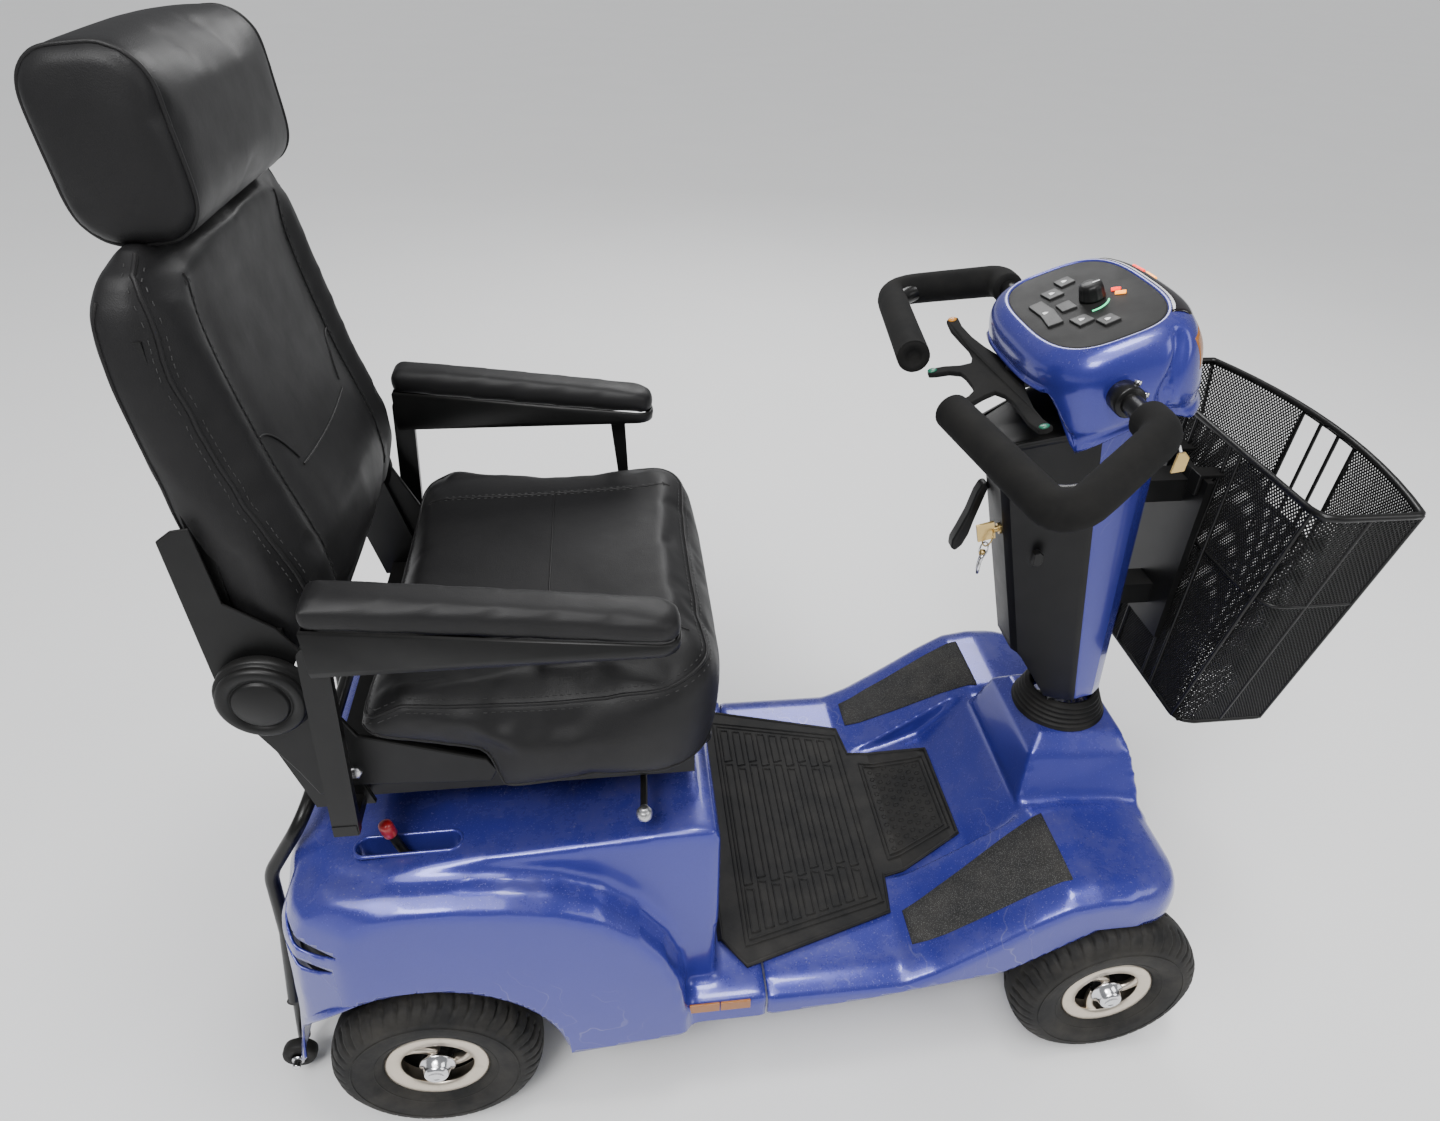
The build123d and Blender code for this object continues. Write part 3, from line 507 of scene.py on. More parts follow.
def rear_body():
    """The rear cover: a platform under the seat and two rounded fenders, with its openings."""
    platform = [
        (-152, 130), (-160, 217), (-150, 330), (-142, 400), (-128, 434), (-100, 452), (40, 459), (200, 468),
        (330, 478), (350, 474), (357, 460), (357, 330), (350, 130),
    ]
    fender = [
        (-190, 74), (-172, 150), (-160, 217), (-150, 310), (-143, 380), (-124, 424), (-90, 445), (-20, 449),
        (60, 447), (120, 440), (170, 428), (217, 406), (258, 368), (288, 320), (306, 269), (314, 204),
        (314, 130), (150, 100),
    ]
    sill = [(296, 130), (296, 197), (417, 197), (417, 130)]
    parts = [body_block(platform, -250, 250, 250, rear=80)]
    parts.append(body_block(fender, -297, 297, 297, rear=CORNER, shoulder=16))
    parts.append(body_block(sill, -284, 284, 284, shoulder=6))
    skin = melted(parts, 6.0, 6)
    arch = [(ARCH_RADIUS - 1, 0), (ARCH_RADIUS - 1, 200)]
    cutters = [turned("cut", arch, (0, side * 205, AXLE_Z), BLUE, None, sign=side) for side, _ in SIDES]
    lower = [
        (-260, 20), (-260, 70), (-188, 80), (-155, 150), (0, 152), (158, 134), (332, 153), (440, 153),
        (440, 20),
    ]
    cutters.append(prism("cut", lower, -330, 330, BLUE, None))
    cutters.append(prism("cut", [(-240, 100), (-240, 176), (-100, 176), (-100, 100)], -188, 188, BLUE, None))
    cutters.append(prism("cut", [(416, 100), (416, 300), (440, 300), (440, 100)], -330, 330, BLUE, None))
    cutters.append(turned("cut", [(36, 0), (36, 120)], (150, 0, 400), BLUE, None, axis="z"))
    slot = [(LEVER_SLOT[0] + u, LEVER_SLOT[1] + v) for u, v in rounded(115, 26, 12.9, 8)]
    cutters.append(prism("cut", slot, 415, 520, BLUE, None, axis="z"))
    for side, _ in SIDES:
        for z0, z1, length in ((408, 372, 66), (366, 345, 60)):
            cutters.append(vent_cutter(side, z0, z1, length))
    finish_shell(carve(skin, cutters), "rear_body", "rear_shroud")


def vent_cutter(side, z0, z1, length):
    """A curved leaf-shaped slot through the rear corner."""
    upper, lower = [], []
    for i in range(11):
        t = i / 10
        z = z0 + (z1 - z0) * t - 9 * math.sin(PI * t)
        half = 8.0 * math.sin(PI * min(max(t, 0.03), 0.97)) ** 0.7
        upper.append((t, z + half))
        lower.append((t, z - half))
    loop = upper + lower[::-1]
    rings = []
    for depth in (-60, 60):
        ring = []
        for t, z in loop:
            along = -118 + 0.74 * length * t
            across = 232 + 0.9 * length * t
            ring.append((along - 0.77 * depth, side * (across + 0.64 * depth), z))
        rings.append(ring)
    return ring_object("cut", rings, BLUE, None)


def arch_lips():
    """Rolled edges round the rear wheel arches."""
    lip = 4
    for side, name in SIDES:
        rings = []
        for i in range(49):
            a = math.radians(8 + 144 * i / 48)
            ring = []
            for turn in angles(10):
                reach = ARCH_RADIUS + lip * math.cos(turn)
                x, z = reach * math.cos(a), AXLE_Z + reach * math.sin(a)
                ring.append((x, side * (side_surface(x, z) - 1.5 + lip * math.sin(turn)), z))
            rings.append(ring)
        ring_object(f"arch_lip_{name}", rings, BLUE, "chassis")


def vent_backing():
    """Dark plates inside the rear corners, behind the slots."""
    for side, name in SIDES:
        rings = []
        for z in (320, 345, 370, 398, 412):
            centre = rear_end(z) + CORNER
            inner = CORNER - 15 - max(0, z - 390) * 0.3
            row = [(-40, side * (223 + inner), z)]
            for i in range(15):
                a = math.radians(90 + 80 * i / 14)
                row.append((centre + inner * math.cos(a), side * (223 + inner * math.sin(a)), z))
            rings.append(row)
        plate = ring_object(f"vent_backing_{name}", rings, BLACK, "chassis", closed=False, caps=False)
        thicken(plate, 1.5)


def slot_liner():
    """The raised rim of the freewheel lever's slot, with the wall inside it."""
    outline = rounded(115, 26, 12.9, 8)
    x0, y0 = LEVER_SLOT
    rings = []
    for grow, z in ((3.0, 458.5), (2.0, 461.0), (0.0, 461.4), (-0.8, 458), (-0.8, 432)):
        k = 1 + grow / 60
        rings.append([(x0 + u * k, y0 + v * (1 + grow / 13), z + 0.012 * (u + 8)) for u, v in outline])
    ring_object("slot_liner", rings, BLUE, "chassis", caps=False)


def front_body():
    """The deck with its fenders and the hump that the column stands on."""
    floor = 120
    centre = [
        (417, floor), (417, 197), (600, 197), (636, 199), (680, 214), (727, 236), (765, 278), (796, 318),
        (850, 322), (930, 321), (960, 316), (973, 300), (974, 262), (960, floor),
    ]
    fender = [
        (417, floor), (417, 197), (600, 196), (640, 214), (700, 254), (760, 297), (800, 321), (845, 328),
        (900, 326), (945, 319), (966, 306), (974, 288), (974, 262), (960, floor),
    ]
    parts = [body_block(centre, -140, 140, 500)]
    for side, _ in SIDES:
        parts.append(body_block(fender, side * 128, side * 284, 284, front=75, shoulder=12))
    base = [(792, 105), (792, -105), (966, -120), (966, 120)]
    middle = [(806, 82), (806, -82), (950, -92), (950, 92)]
    top = [(822, 60), (822, -60), (940, -66), (940, 66)]
    rings = [[(x, y, z) for x, y in pts] for pts, z in ((base, 300), (base, 322), (middle, 384), (top, 406))]
    parts.append(ring_object("hump", rings, BLUE, None))
    skin = melted(parts, 5.0, 5)
    lip = [
        (400, 60), (400, 152), (560, 166), (731, 194), (745, 201), (846, 267), (958, 268), (1000, 264),
        (1000, 60),
    ]
    cutters = [prism("cut", lip, -330, 330, BLUE, None)]
    cutters.append(turned("cut", [(42, 0), (42, 90)], (COLUMN_X, 0, 350), BLUE, None, axis="z"))
    cutters.append(prism("cut", [(400, 100), (400, 300), (418, 300), (418, 100)], -330, 330, BLUE, None))
    finish_shell(carve(skin, cutters), "front_body", "front_shroud")


rear_body()
arch_lips()
vent_backing()
slot_liner()
front_body()


# ---- wheels ----
def tyre(name, x, side, body, node):
    """Smooth-walled tyre with curved cuts across its shoulders."""
    profile = [
        (64, -29), (70, -34), (84, -40), (98, -41.5), (110, -40), (119, -34), (125, -26), (128.5, -15),
        (129.7, -5),
    ]
    profile = profile + [(r, -h) for r, h in profile[::-1]] + [(64, 29), (62, 0)]
    fine = []
    for (r0, h0), (r1, h1) in zip(profile, profile[1:] + profile[:1]):
        for k in range(3):
            fine.append((r0 + (r1 - r0) * k / 3, h0 + (h1 - h0) * k / 3))
    steps, blocks = 360, 45
    rings = []
    for r, h in fine:
        ring = []
        for i in range(steps):
            a = 2 * PI * i / steps
            reach = min(max((r - 106) / 20, 0), 1)
            phase = (i / steps * blocks + 0.45 * math.sin(abs(h) / 14) * (1 if h > 0 else -1)) % 1
            cut = 1 if abs(phase - 0.5) < 0.09 else 0
            depth = 4.0 * cut * reach if abs(h) > 9 else 0
            radius = r - depth
            width = h * (1 - 0.02 * cut * reach)
            y = side * (TRACK_HALF + width)
            ring.append((x + radius * math.cos(a), y, AXLE_Z + radius * math.sin(a)))
        rings.append(ring)
    rings.append(rings[0])
    obj = ring_object(name, rings, TYRE, body, caps=False)
    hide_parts(node)
    for k, (r, out) in enumerate(((75, 35.6), (101, 41.2))):
        y = side * (TRACK_HALF + out)
        bead = [(x + r * math.cos(a), y, AXLE_Z + r * math.sin(a)) for a in angles(90)]
        tube(f"{name}_bead_{k}", bead, 1.0, TYRE, body, closed=True)


def rim(name, x, side, body, node):
    """Champagne ring with three swept spokes and a flared chrome cap."""
    cy = side * TRACK_HALF
    ring = [
        (44, 27), (46, 30.2), (60, 31), (63.4, 29.5), (64, 26), (61, 20), (60, -34), (52, -34), (50, 20),
        (44, 24),
    ]
    outer = turned(name, ring + ring[:1], (x, cy, AXLE_Z), RIM, body, sign=side, steps=72)
    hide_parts(node)
    disc = [(3, 8), (50, 8), (50, 4), (3, 4)]
    turned(f"{name}_disc", disc, (x, cy, AXLE_Z), STEEL_BLACK, body, sign=side)
    for k in range(3):
        start = math.radians(100 + 120 * k)
        rings = []
        for i in range(9):
            t = i / 8
            r = 17 + 31 * t
            a = start + 0.75 * t
            half = 8 - 5 * t + 9 * t**3
            tangent, radial = (-math.sin(a), math.cos(a)), (math.cos(a), math.sin(a))
            row = []
            for u, h in ((-half, 16), (-half * 0.75, 24), (half * 0.75, 24), (half, 16)):
                px = x + radial[0] * r + tangent[0] * u
                pz = AXLE_Z + radial[1] * r + tangent[1] * u
                row.append((px, cy + side * (h + 3 * t), pz))
            rings.append(row)
        ring_object(f"{name}_spoke_{k}", rings, RIM, body)
    cap = [
        (0.5, 8), (19, 8), (19, 24), (22, 27), (22.5, 29), (21, 30.5), (17, 33), (15.5, 40), (14, 43.5),
        (10, 45), (9, 43), (0.5, 42.5),
    ]
    turned(f"{name}_cap", cap, (x, cy, AXLE_Z), CHROME, body, sign=side, steps=36)


def rollers():
    """The two small wheels behind the body."""
    wheel = [(5.2, -9), (18, -9), (21, -7), (22, -3), (22, 5), (20, 9), (9, 9), (9, 6), (5.2, 6)]
    bolt = [(0.5, 10), (8, 10), (8, 14), (5, 14.5), (5, 23), (3.5, 24), (0.5, 24)]
    for sign, side in SIDES:
        place = (-205, sign * 199, 40)
        roller = turned(f"roller_{side}", wheel + wheel[:1], place, MAT, f"roller_{side}", sign=sign)
        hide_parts(f"anti_tip_roller_{side}")
        turned(f"roller_bolt_{side}", bolt, place, CHROME, "chassis", sign=sign, steps=20)


for wheel_end, axle_x in (("front", WHEELBASE), ("rear", 0.0)):
    for wheel_sign, wheel_side in SIDES:
        wheel_body = f"{wheel_end}_wheel_{wheel_side}"
        tyre_name, rim_name = f"{wheel_end}_tread_{wheel_side}", f"{wheel_end}_ring_{wheel_side}"
        tyre(tyre_name, axle_x, wheel_sign, wheel_body, f"{wheel_end}_tyre_{wheel_side}")
        rim(rim_name, axle_x, wheel_sign, wheel_body, f"{wheel_end}_rim_{wheel_side}")
rollers()


# ---- seat ----
def puff(obj, pressure, cap):
    """Lets a closed pad swell as cloth, with every point held within a cap of where it started."""
    mod = obj.modifiers.new("voxels", "REMESH")
    mod.mode = "VOXEL"
    mod.voxel_size = 0.0065
    bake(obj)
    rest = [v.co.copy() for v in obj.data.vertices]
    cloth = obj.modifiers.new("cloth", "CLOTH")
    cloth.settings.quality = 4
    cloth.settings.mass = 0.2
    cloth.settings.tension_stiffness = 18
    cloth.settings.compression_stiffness = 18
    cloth.settings.bending_stiffness = 2.5
    cloth.settings.use_pressure = True
    cloth.settings.uniform_pressure_force = pressure
    cloth.settings.effector_weights.gravity = 0
    cloth.collision_settings.use_collision = False
    for step in range(1, 15):
        bpy.context.scene.frame_set(step)
    bake(obj)
    for v, start in zip(obj.data.vertices, rest):
        move = v.co - start
        if move.length > cap / 1000:
            v.co = start + move * (cap / 1000 / move.length)
    smooth = obj.modifiers.new("smooth", "SMOOTH")
    smooth.factor = 0.5
    smooth.iterations = 3
    bake(obj)
    bpy.context.scene.frame_set(1)
    obj.data.shade_smooth()
    mod = obj.modifiers.new("soft", "SUBSURF")
    mod.levels = mod.render_levels = 1
    return obj


def on_surface(obj, point, lift):
    """The nearest point of a piece's skin, raised a little."""
    graph = bpy.context.evaluated_depsgraph_get()
    _, place, normal, _ = obj.evaluated_get(graph).closest_point_on_mesh(P(*point))
    lifted = place + normal * (lift / 1000)
    return (lifted.x * 1000 + ORIGIN_X, lifted.y * 1000, lifted.z * 1000), normal


# One stitch: a low tent, along, across and out of the pad.
STITCH = ((-2, -0.5, 0), (2, -0.5, 0), (2, 0.5, 0), (-2, 0.5, 0), (-1.4, 0, 0.5), (1.4, 0, 0.5))


def seam(name, obj, line, body, radius=1.6, stitch=None, closed=False, spacing=7.0):
    """A welt along a line on a pad, with a row of stitches on the named side."""
    dense = []
    for a, b in zip(line, line[1:] + (line[:1] if closed else [])):
        gap = math.dist(a, b)
        count = max(2, int(gap / 6))
        dense += [tuple(p + (q - p) * i / count for p, q in zip(a, b)) for i in range(count)]
    if not closed:
        dense.append(line[-1])
    placed = [on_surface(obj, p, 0.2) for p in dense]
    tube(name, [p for p, _ in placed], radius, VINYL, body, closed=closed)
    if stitch is None:
        return
    verts, faces = [], []
    walked = 0.0
    for (a, na), (b, _) in zip(placed, placed[1:]):
        a, b = Vector(a), Vector(b)
        step = b - a
        if step.length < 0.1:
            continue
        along = step.normalized()
        across = along.cross(na).normalized()
        walked += step.length
        if walked < spacing:
            continue
        walked = 0.0
        for offset in (stitch, -stitch):
            centre = a + across * offset
            spot, normal = on_surface(obj, tuple(centre), 0.35)
            spot = Vector(spot)
            base = len(verts)
            for du, dv, dw in STITCH:
                verts.append(tuple(spot + along * du + across * dv + normal * dw))
            for face in ((0, 1, 5, 4), (2, 3, 4, 5), (1, 2, 5), (3, 0, 4)):
                faces.append(tuple(base + k for k in face))
    if verts:
        add_object(f"{name}_stitches", from_points(verts, faces), THREAD, body, smooth=False)


BACK_REAR = [(708, -122), (728, -124), (868, -134), (1001, -138), (1053, -139), (1080, -128), (1098, -112)]
BACK_FRONT = [
    (708, -26), (760, -16), (806, -19), (860, -34), (903, -47), (960, -60), (1014, -70), (1060, -74),
    (1085, -80), (1100, -92),
]


def back_half(z):
    """Half width of the backrest at a height."""
    return ease([(708, 196), (760, 208), (900, 214), (1010, 214), (1062, 206), (1085, 192), (1098, 165)], z)


def backrest():
    levels = [708, 716, 735, 770, 810, 850, 890, 930, 970, 1005, 1035, 1058, 1074, 1086, 1094, 1100]
    rings = []
    for z in levels:
        half, rear, front = back_half(z), between(BACK_REAR, z), between(BACK_FRONT, z)
        middle = (rear + front) / 2
        deep = (front - rear) / 2
        ring = []
        for a in angles(64):
            c, s = math.cos(a), math.sin(a)
            u = math.copysign(abs(c) ** 0.42, c)
            v = math.copysign(abs(s) ** 0.42, s)
            y = half * v
            bolster = 15 * math.exp(-(((abs(y) - 176) / 26) ** 2))
            bolster -= 6 * math.exp(-(((abs(y) - 138) / 14) ** 2))
            lower = 8 * math.exp(-((y / 95) ** 2)) * math.exp(-(((z - 790) / 55) ** 2))
            fade = ease([(720, 0.5), (780, 1), (1040, 1), (1090, 0)], z)
            x = middle + deep * u + (max(u, 0) * (bolster * fade + lower) - (14 if u > 0 else 0) * fade * 0.5)
            ring.append((x, y, z))
        rings.append(ring)
    pad = ring_object("backrest_pad", rings, VINYL, "back")
    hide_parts("backrest_cushion")
    puff(pad, 3.0, 5.0)
    for sign, side in SIDES:
        outer = [(between(BACK_FRONT, z) - 6, sign * (back_half(z) - 4), z) for z in range(745, 1080, 14)]
        crown = [(-92, sign * 188, 1090), (-95, sign * 165, 1100)]
        seam(f"back_welt_{side}", pad, outer + crown, "back", 2.2, 7.0)
        inner = [(between(BACK_FRONT, z), sign * 138, z) for z in range(750, 1075, 14)]
        seam(f"back_channel_{side}", pad, inner, "back", 1.2, 4.0)
        rear = [(between(BACK_REAR, z) + 8, sign * (back_half(z) - 3), z) for z in range(730, 1080, 20)]
        seam(f"back_rear_welt_{side}", pad, rear, "back", 1.6)
        crease = [(-50, sign * (136 - 3.4 * i), 925 - 0.5 * i * i * 0.55) for i in range(0, 14)]
        seam(f"back_crease_{side}", pad, crease, "back", 1.3)
    seam("back_cross_seam", pad, [(-40, y, 868 + 0.0006 * y * y) for y in range(-92, 93, 12)], "back", 1.2)


HEADREST_ENDS = [
    (-150, 0.80), (-149, 0.88), (-145, 0.945), (-138, 0.98), (-126, 1.0), (-80, 1.005), (-30, 1.01),
]


def headrest():
    """The headrest's pad, with a welt round each end."""
    lean = math.radians(5)
    c, s = math.cos(lean), math.sin(lean)
    outline = rounded(98, 144, 36, 7)

    def ring(y, k):
        """The pad's section at a width, at a share of its full size."""
        scaled = [(u * k, v * k) for u, v in outline]
        return [(-101 + u * c - v * s, y, 1164 + v * c + u * s) for u, v in scaled]

    ends = HEADREST_ENDS + [(-y, k) for y, k in reversed(HEADREST_ENDS)]
    pad = ring_object("headrest_pad", [ring(y, k) for y, k in ends], VINYL, "headrest")
    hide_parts("headrest_cushion")
    puff(pad, 3.0, 4.0)
    for sign, side in SIDES:
        seam(f"headrest_welt_{side}", pad, ring(sign * 140, 1), "headrest", 2.0, None, closed=True)


CUSHION_TOP = [(-15, 650), (8, 668), (40, 680), (85, 675), (191, 672), (281, 678), (331, 684), (357, 680)]
CUSHION_LOW = [(-15, 646), (117, 606), (124, 562), (225, 559), (330, 559), (357, 566)]


def cushion_ring(inset, share, lift=0.0, steps=10):
    """One level of the seat pad: a rounded plan, a share of the way up from its underside."""
    plan = []
    for cx, cy, start, r in ((1, 1, 0, 75), (-1, 1, 90, 30), (-1, -1, 180, 30), (1, -1, 270, 75)):
        for i in range(steps + 1):
            a = math.radians(start + 90 * i / steps)
            x = (357 - r if cx > 0 else -12 + r) + (r - inset) * math.cos(a)
            y = cy * (246 - r) + (r - inset) * math.sin(a)
            plan.append((x, y))
    dense = []
    for (x0, y0), (x1, y1) in zip(plan, plan[1:] + plan[:1]):
        gap = math.hypot(x1 - x0, y1 - y0)
        count = max(1, int(gap / 22))
        dense += [(x0 + (x1 - x0) * i / count, y0 + (y1 - y0) * i / count) for i in range(count)]
    ring = []
    for x, y in dense:
        low, top = between(CUSHION_LOW, x), ease(CUSHION_TOP, x)
        ring.append((x, y, low + (top - low) * share + lift))
    return ring


def seat_cushion():
    levels = [(60, 0.0, 0), (14, 0.0, 0), (3, 0.08, 0), (0, 0.3, 0), (-1, 0.6, 0), (1, 0.85, 0), (7, 0.97, 0)]
    rings = [cushion_ring(*level) for level in levels]
    rings += [cushion_ring(18, 1.0, 5), cushion_ring(28, 1.0, 9), cushion_ring(29.5, 1.0, 9.5)]
    mesh = rings_mesh(rings)
    b = bmesh.new()
    b.from_mesh(mesh)
    top = max(b.faces, key=lambda f: f.calc_center_median().z)
    bmesh.ops.recalc_face_normals(b, faces=b.faces)
    bmesh.ops.poke(b, faces=[top])
    b.to_mesh(mesh)
    b.free()
    pad = add_object("seat_pad", mesh, VINYL, "seat")
    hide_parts("seat_cushion")
    puff(pad, 3.2, 7.0)
    edge = cushion_ring(9, 1.0, 3)
    seam("seat_top_welt", pad, edge, "seat", 2.0, 7.0, closed=True)
    seam("seat_low_welt", pad, cushion_ring(0, 0.10), "seat", 1.6, None, closed=True)
    cross = [(178, y, 692) for y in range(-150, 151, 15)]
    seam("seat_cross_seam", pad, cross, "seat", 1.1)
    for sign, side in SIDES:
        line = [(x, sign * (150 + 0.00028 * (x - 170) ** 2), 694) for x in range(5, 345, 17)]
        seam(f"seat_channel_{side}", pad, line, "seat", 1.1, 4.0)


def armrest(side, sign):
    """Padded top and hard case, with rounded front corners."""
    body = f"armrest_{side}"
    outline = [(-20, 222), (-20, 274)]
    for a in range(0, 91, 15):
        t = math.radians(90 - a)
        outline.append((291 + 22 * math.cos(t), 252 + 22 * math.sin(t)))
    for a in range(0, 91, 15):
        t = math.radians(-a)
        outline.append((291 + 22 * math.cos(t), 244 + 22 * math.sin(t)))

    def ring(level, inset):
        out = []
        for x, y in outline:
            x1 = 146 + (x - 146) * (1 - inset / 166)
            y1 = 248 + (y - 248) * (1 - inset / 26)
            out.append((x1, sign * y1, level(x)))
        return out

    def seam_z(x):
        return 807 - 40 * (x + 20) / 333

    def top_z(x):
        return min(832 - 40 * (x + 20) / 333, seam_z(x) + 26)

    case = [ring(lambda x: 752, 5), ring(lambda x: 754, 1), ring(lambda x: 760, 0)]
    case += [ring(lambda x: seam_z(x) - 3, 0), ring(lambda x: seam_z(x) - 0.4, 2)]
    shell = ring_object(f"arm_case_{side}", case, BLACK, body, caps=False)
    shell.modifiers.new("wall", "SOLIDIFY").thickness = 0.002
    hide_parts(f"armrest_case_{side}")
    pad_rings = [ring(lambda x: seam_z(x) - 2.5, 2.5), ring(lambda x: seam_z(x) + 4, -0.5)]
    pad_rings += [
        ring(lambda x: top_z(x) - 9, -0.5), ring(lambda x: top_z(x) - 3, 2), ring(lambda x: top_z(x), 7),
        ring(lambda x: top_z(x) + 1, 14),
    ]
    pad = ring_object(f"arm_pad_{side}", pad_rings, VINYL, body)
    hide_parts(f"armrest_pad_{side}")
    puff(pad, 2.0, 2.5)


def seat_trim():
    """Hard covers, hinge discs and bolts beside the seat, and the stay under the left armrest."""
    cover = [(-124, 708), (-122, 690), (-76, 596), (-62, 560), (-31, 571), (112, 562), (120, 578), (112, 594)]
    cover += [(-10, 639), (-38, 700)]
    disc = [
        (0.5, 222.6), (44, 222.6), (45, 224), (45, 232), (43.5, 234), (40, 234), (40, 236), (41, 237),
        (41, 241),
    ]
    disc += [(38, 243.5), (29, 243.5), (28.5, 241.5), (26.5, 241.5), (26, 243.5), (24, 245), (0.5, 245.5)]
    wing = [
        (-128, 706), (-134, 868), (-120, 878), (-104, 880), (-98, 800), (-60, 770), (-44, 742), (-60, 712),
    ]
    wing += [(-90, 690)]
    bolt = [(0.5, 228), (8, 228), (8, 231), (6, 233), (0.5, 233)]
    for sign, side in SIDES:
        y0, y1 = sorted((sign * 223, sign * 229))
        prism(f"hinge_cover_{side}", cover, y0, y1, BLACK, "seat", 2.0)
        piece = turned(f"hinge_disc_{side}", disc, (-83, 0, 700), BLACK, "seat", sign=sign)
        y0, y1 = sorted((sign * 214.4, sign * 217.4))
        prism(f"back_side_cover_{side}", wing, y0, y1, BLACK, "back", 1.2)
        if side == "left":
            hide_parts("seat_side_covers")
        turned(f"seat_bolt_{side}", bolt, (-22, 0, 590), STEEL, "seat", sign=sign, steps=6)
    stay = [(264, 640), (266, 634), (277, 634), (274, 752), (254, 752)]
    prism("armrest_stay_left", stay, 249, 252, STEEL_BLACK, "armrest_left", 0.8)


backrest()
headrest()
seat_cushion()
armrest("left", 1)
armrest("right", -1)
seat_trim()


# ---- steering column ----
TILT = math.radians(20.5)


def panel_point(x, y, z):
    """A point in the console's own tilted frame, z out of the panel."""
    c, s = math.cos(TILT), math.sin(TILT)
    return (770 + c * x - s * z, y, 990 + s * x + c * z)


LOW = [
    (788, 24), (793, 33), (815, 48), (848, 61), (857, 62.5), (862, 62), (886, 56), (901, 44), (908, 30),
    (909, 12),
]
TOP = [
    (674, 26), (680, 38), (753, 62), (775, 68), (783, 69), (790, 68.5), (850, 63), (868, 54), (878, 40),
    (882, 14),
]
COLUMN_Z = (466, 915)


def column_ring(part, t, inset=0.0):
    half = [(a + (c - a) * t, b + (d - b) * t) for (a, b), (c, d) in zip(LOW, TOP)]
    chosen = half[:5] if part == "rear" else half[4:]
    z = COLUMN_Z[0] + (COLUMN_Z[1] - COLUMN_Z[0]) * t
    left = chosen[::-1] if part == "rear" else chosen
    full = left + [(x, -y) for x, y in reversed(left)]
    out = []
    for x, y in full:
        limit = 990 - 112 * math.cos(TILT) + math.tan(TILT) * (x - 770 - 112 * math.sin(TILT)) - 1.5
        out.append((x, y * (1 - inset / 60), min(z, limit)))
    return out


def column():
    """The column's two covers, its lid, the cover's screws and a small clip."""
    for part, mat in (("rear", BLACK), ("front", BLUE)):
        rings = [column_ring(part, i / 24) for i in range(25)]
        obj = ring_object(f"column_{part}", rings, mat, "tiller", closed=False, caps=False)
        if part == "rear":
            notch = [(700, 430), (840, 430), (812, 476), (780, 524), (774, 530), (700, 531)]
            cutter = prism("cut", notch, -90, 90, mat, None)
            thicken_cut(obj, cutter)
        else:
            wall = obj.modifiers.new("wall", "SOLIDIFY")
            wall.thickness = 0.003
        bevel = obj.modifiers.new("round", "BEVEL")
        bevel.width = 0.0022
        bevel.segments = 2
        bevel.angle_limit = math.radians(20)
        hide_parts(f"column_{part}_cover")
    rings = []
    for shrink, rise in ((0.4, -9), (0.4, -2.5), (2.5, 0.2), (9, 0.8), (22, 0.9)):
        ring = column_ring("rear", 1.0)
        mid = sum(x for x, _, _ in ring) / len(ring)
        k = 1 - shrink / 66
        rings.append([(mid + (x - mid) * k, y * k, z + rise) for x, y, z in ring])
    ring_object("column_top", rings, BLACK, "tiller")
    screw = [(0.3, 0), (4.5, 0), (4.5, 1.6), (2, 2.2), (0.3, 1.2)]
    for k, (y, z) in enumerate(((-30, 800), (-33, 640), (30, 800), (33, 640))):
        place = (788 - 0.256 * (z - 466) + 6, y, z)
        turned(f"cover_screw_{k}", screw, place, STEEL_BLACK, "tiller", axis="x", sign=-1, steps=12)
    clip = [(750, 690), (750, 706), (757, 708), (762, 704), (762, 692), (757, 688)]
    prism("column_clip", clip, -64, -54, STEEL_BLACK, "tiller", 1.0)


def thicken_cut(obj, cutter):
    """A wall with a piece cut from it."""
    wall = obj.modifiers.new("wall", "SOLIDIFY")
    wall.thickness = 0.003
    mod = obj.modifiers.new("cut", "BOOLEAN")
    mod.operation = "DIFFERENCE"
    mod.solver = "EXACT"
    mod.object = cutter
    bpy.context.view_layer.update()
    bake(obj)
    bpy.data.objects.remove(cutter)


def bellows():
    """The rubber boot at the column's foot, and the collar over it."""
    profile = [(48, 404.6), (64, 404.6), (65, 407)]
    for k in range(5):
        z = 410 + 6.4 * k
        r = 62 - 2.6 * k
        profile += [(r, z - 1.5), (r + 1.2, z), (r, z + 1.6), (r - 5, z + 3.2)]
    profile += [(47, 441), (44, 441)]
    boot = turned("bellows", profile + profile[:1], (COLUMN_X, 0, 0), MAT, "steering", axis="z", steps=64)
    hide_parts("steering_boot")
    collar = [(20, 436), (30, 436), (30, 441), (26, 443), (20, 443)]
    turned("boot_collar", collar, (COLUMN_X, 0, 0), STEEL_BLACK, "steering", axis="z")


# ---- console ----
def even(points, count):
    """The same loop with evenly spaced points."""
    loop = points + points[:1]
    gaps = [math.dist(a, b) for a, b in zip(loop, loop[1:])]
    total, out, walked, k = sum(gaps), [], 0.0, 0
    for i in range(count):
        want = total * i / count
        while walked + gaps[k] < want:
            walked += gaps[k]
            k += 1
        t = (want - walked) / gaps[k]
        out.append(tuple(p + (q - p) * t for p, q in zip(loop[k], loop[k + 1])))
    return out


def console_outline(grow=0.0, count=180):
    """The housing's plan in its own frame."""
    out = []
    for a in angles(240):
        c, s = math.cos(a), math.sin(a)
        u = math.copysign(abs(c) ** 0.62, c)
        v = math.copysign(abs(s) ** 0.66, s)
        out.append(((90 + grow) * u - 2, (127 + grow) * v))
    return even(out, count)


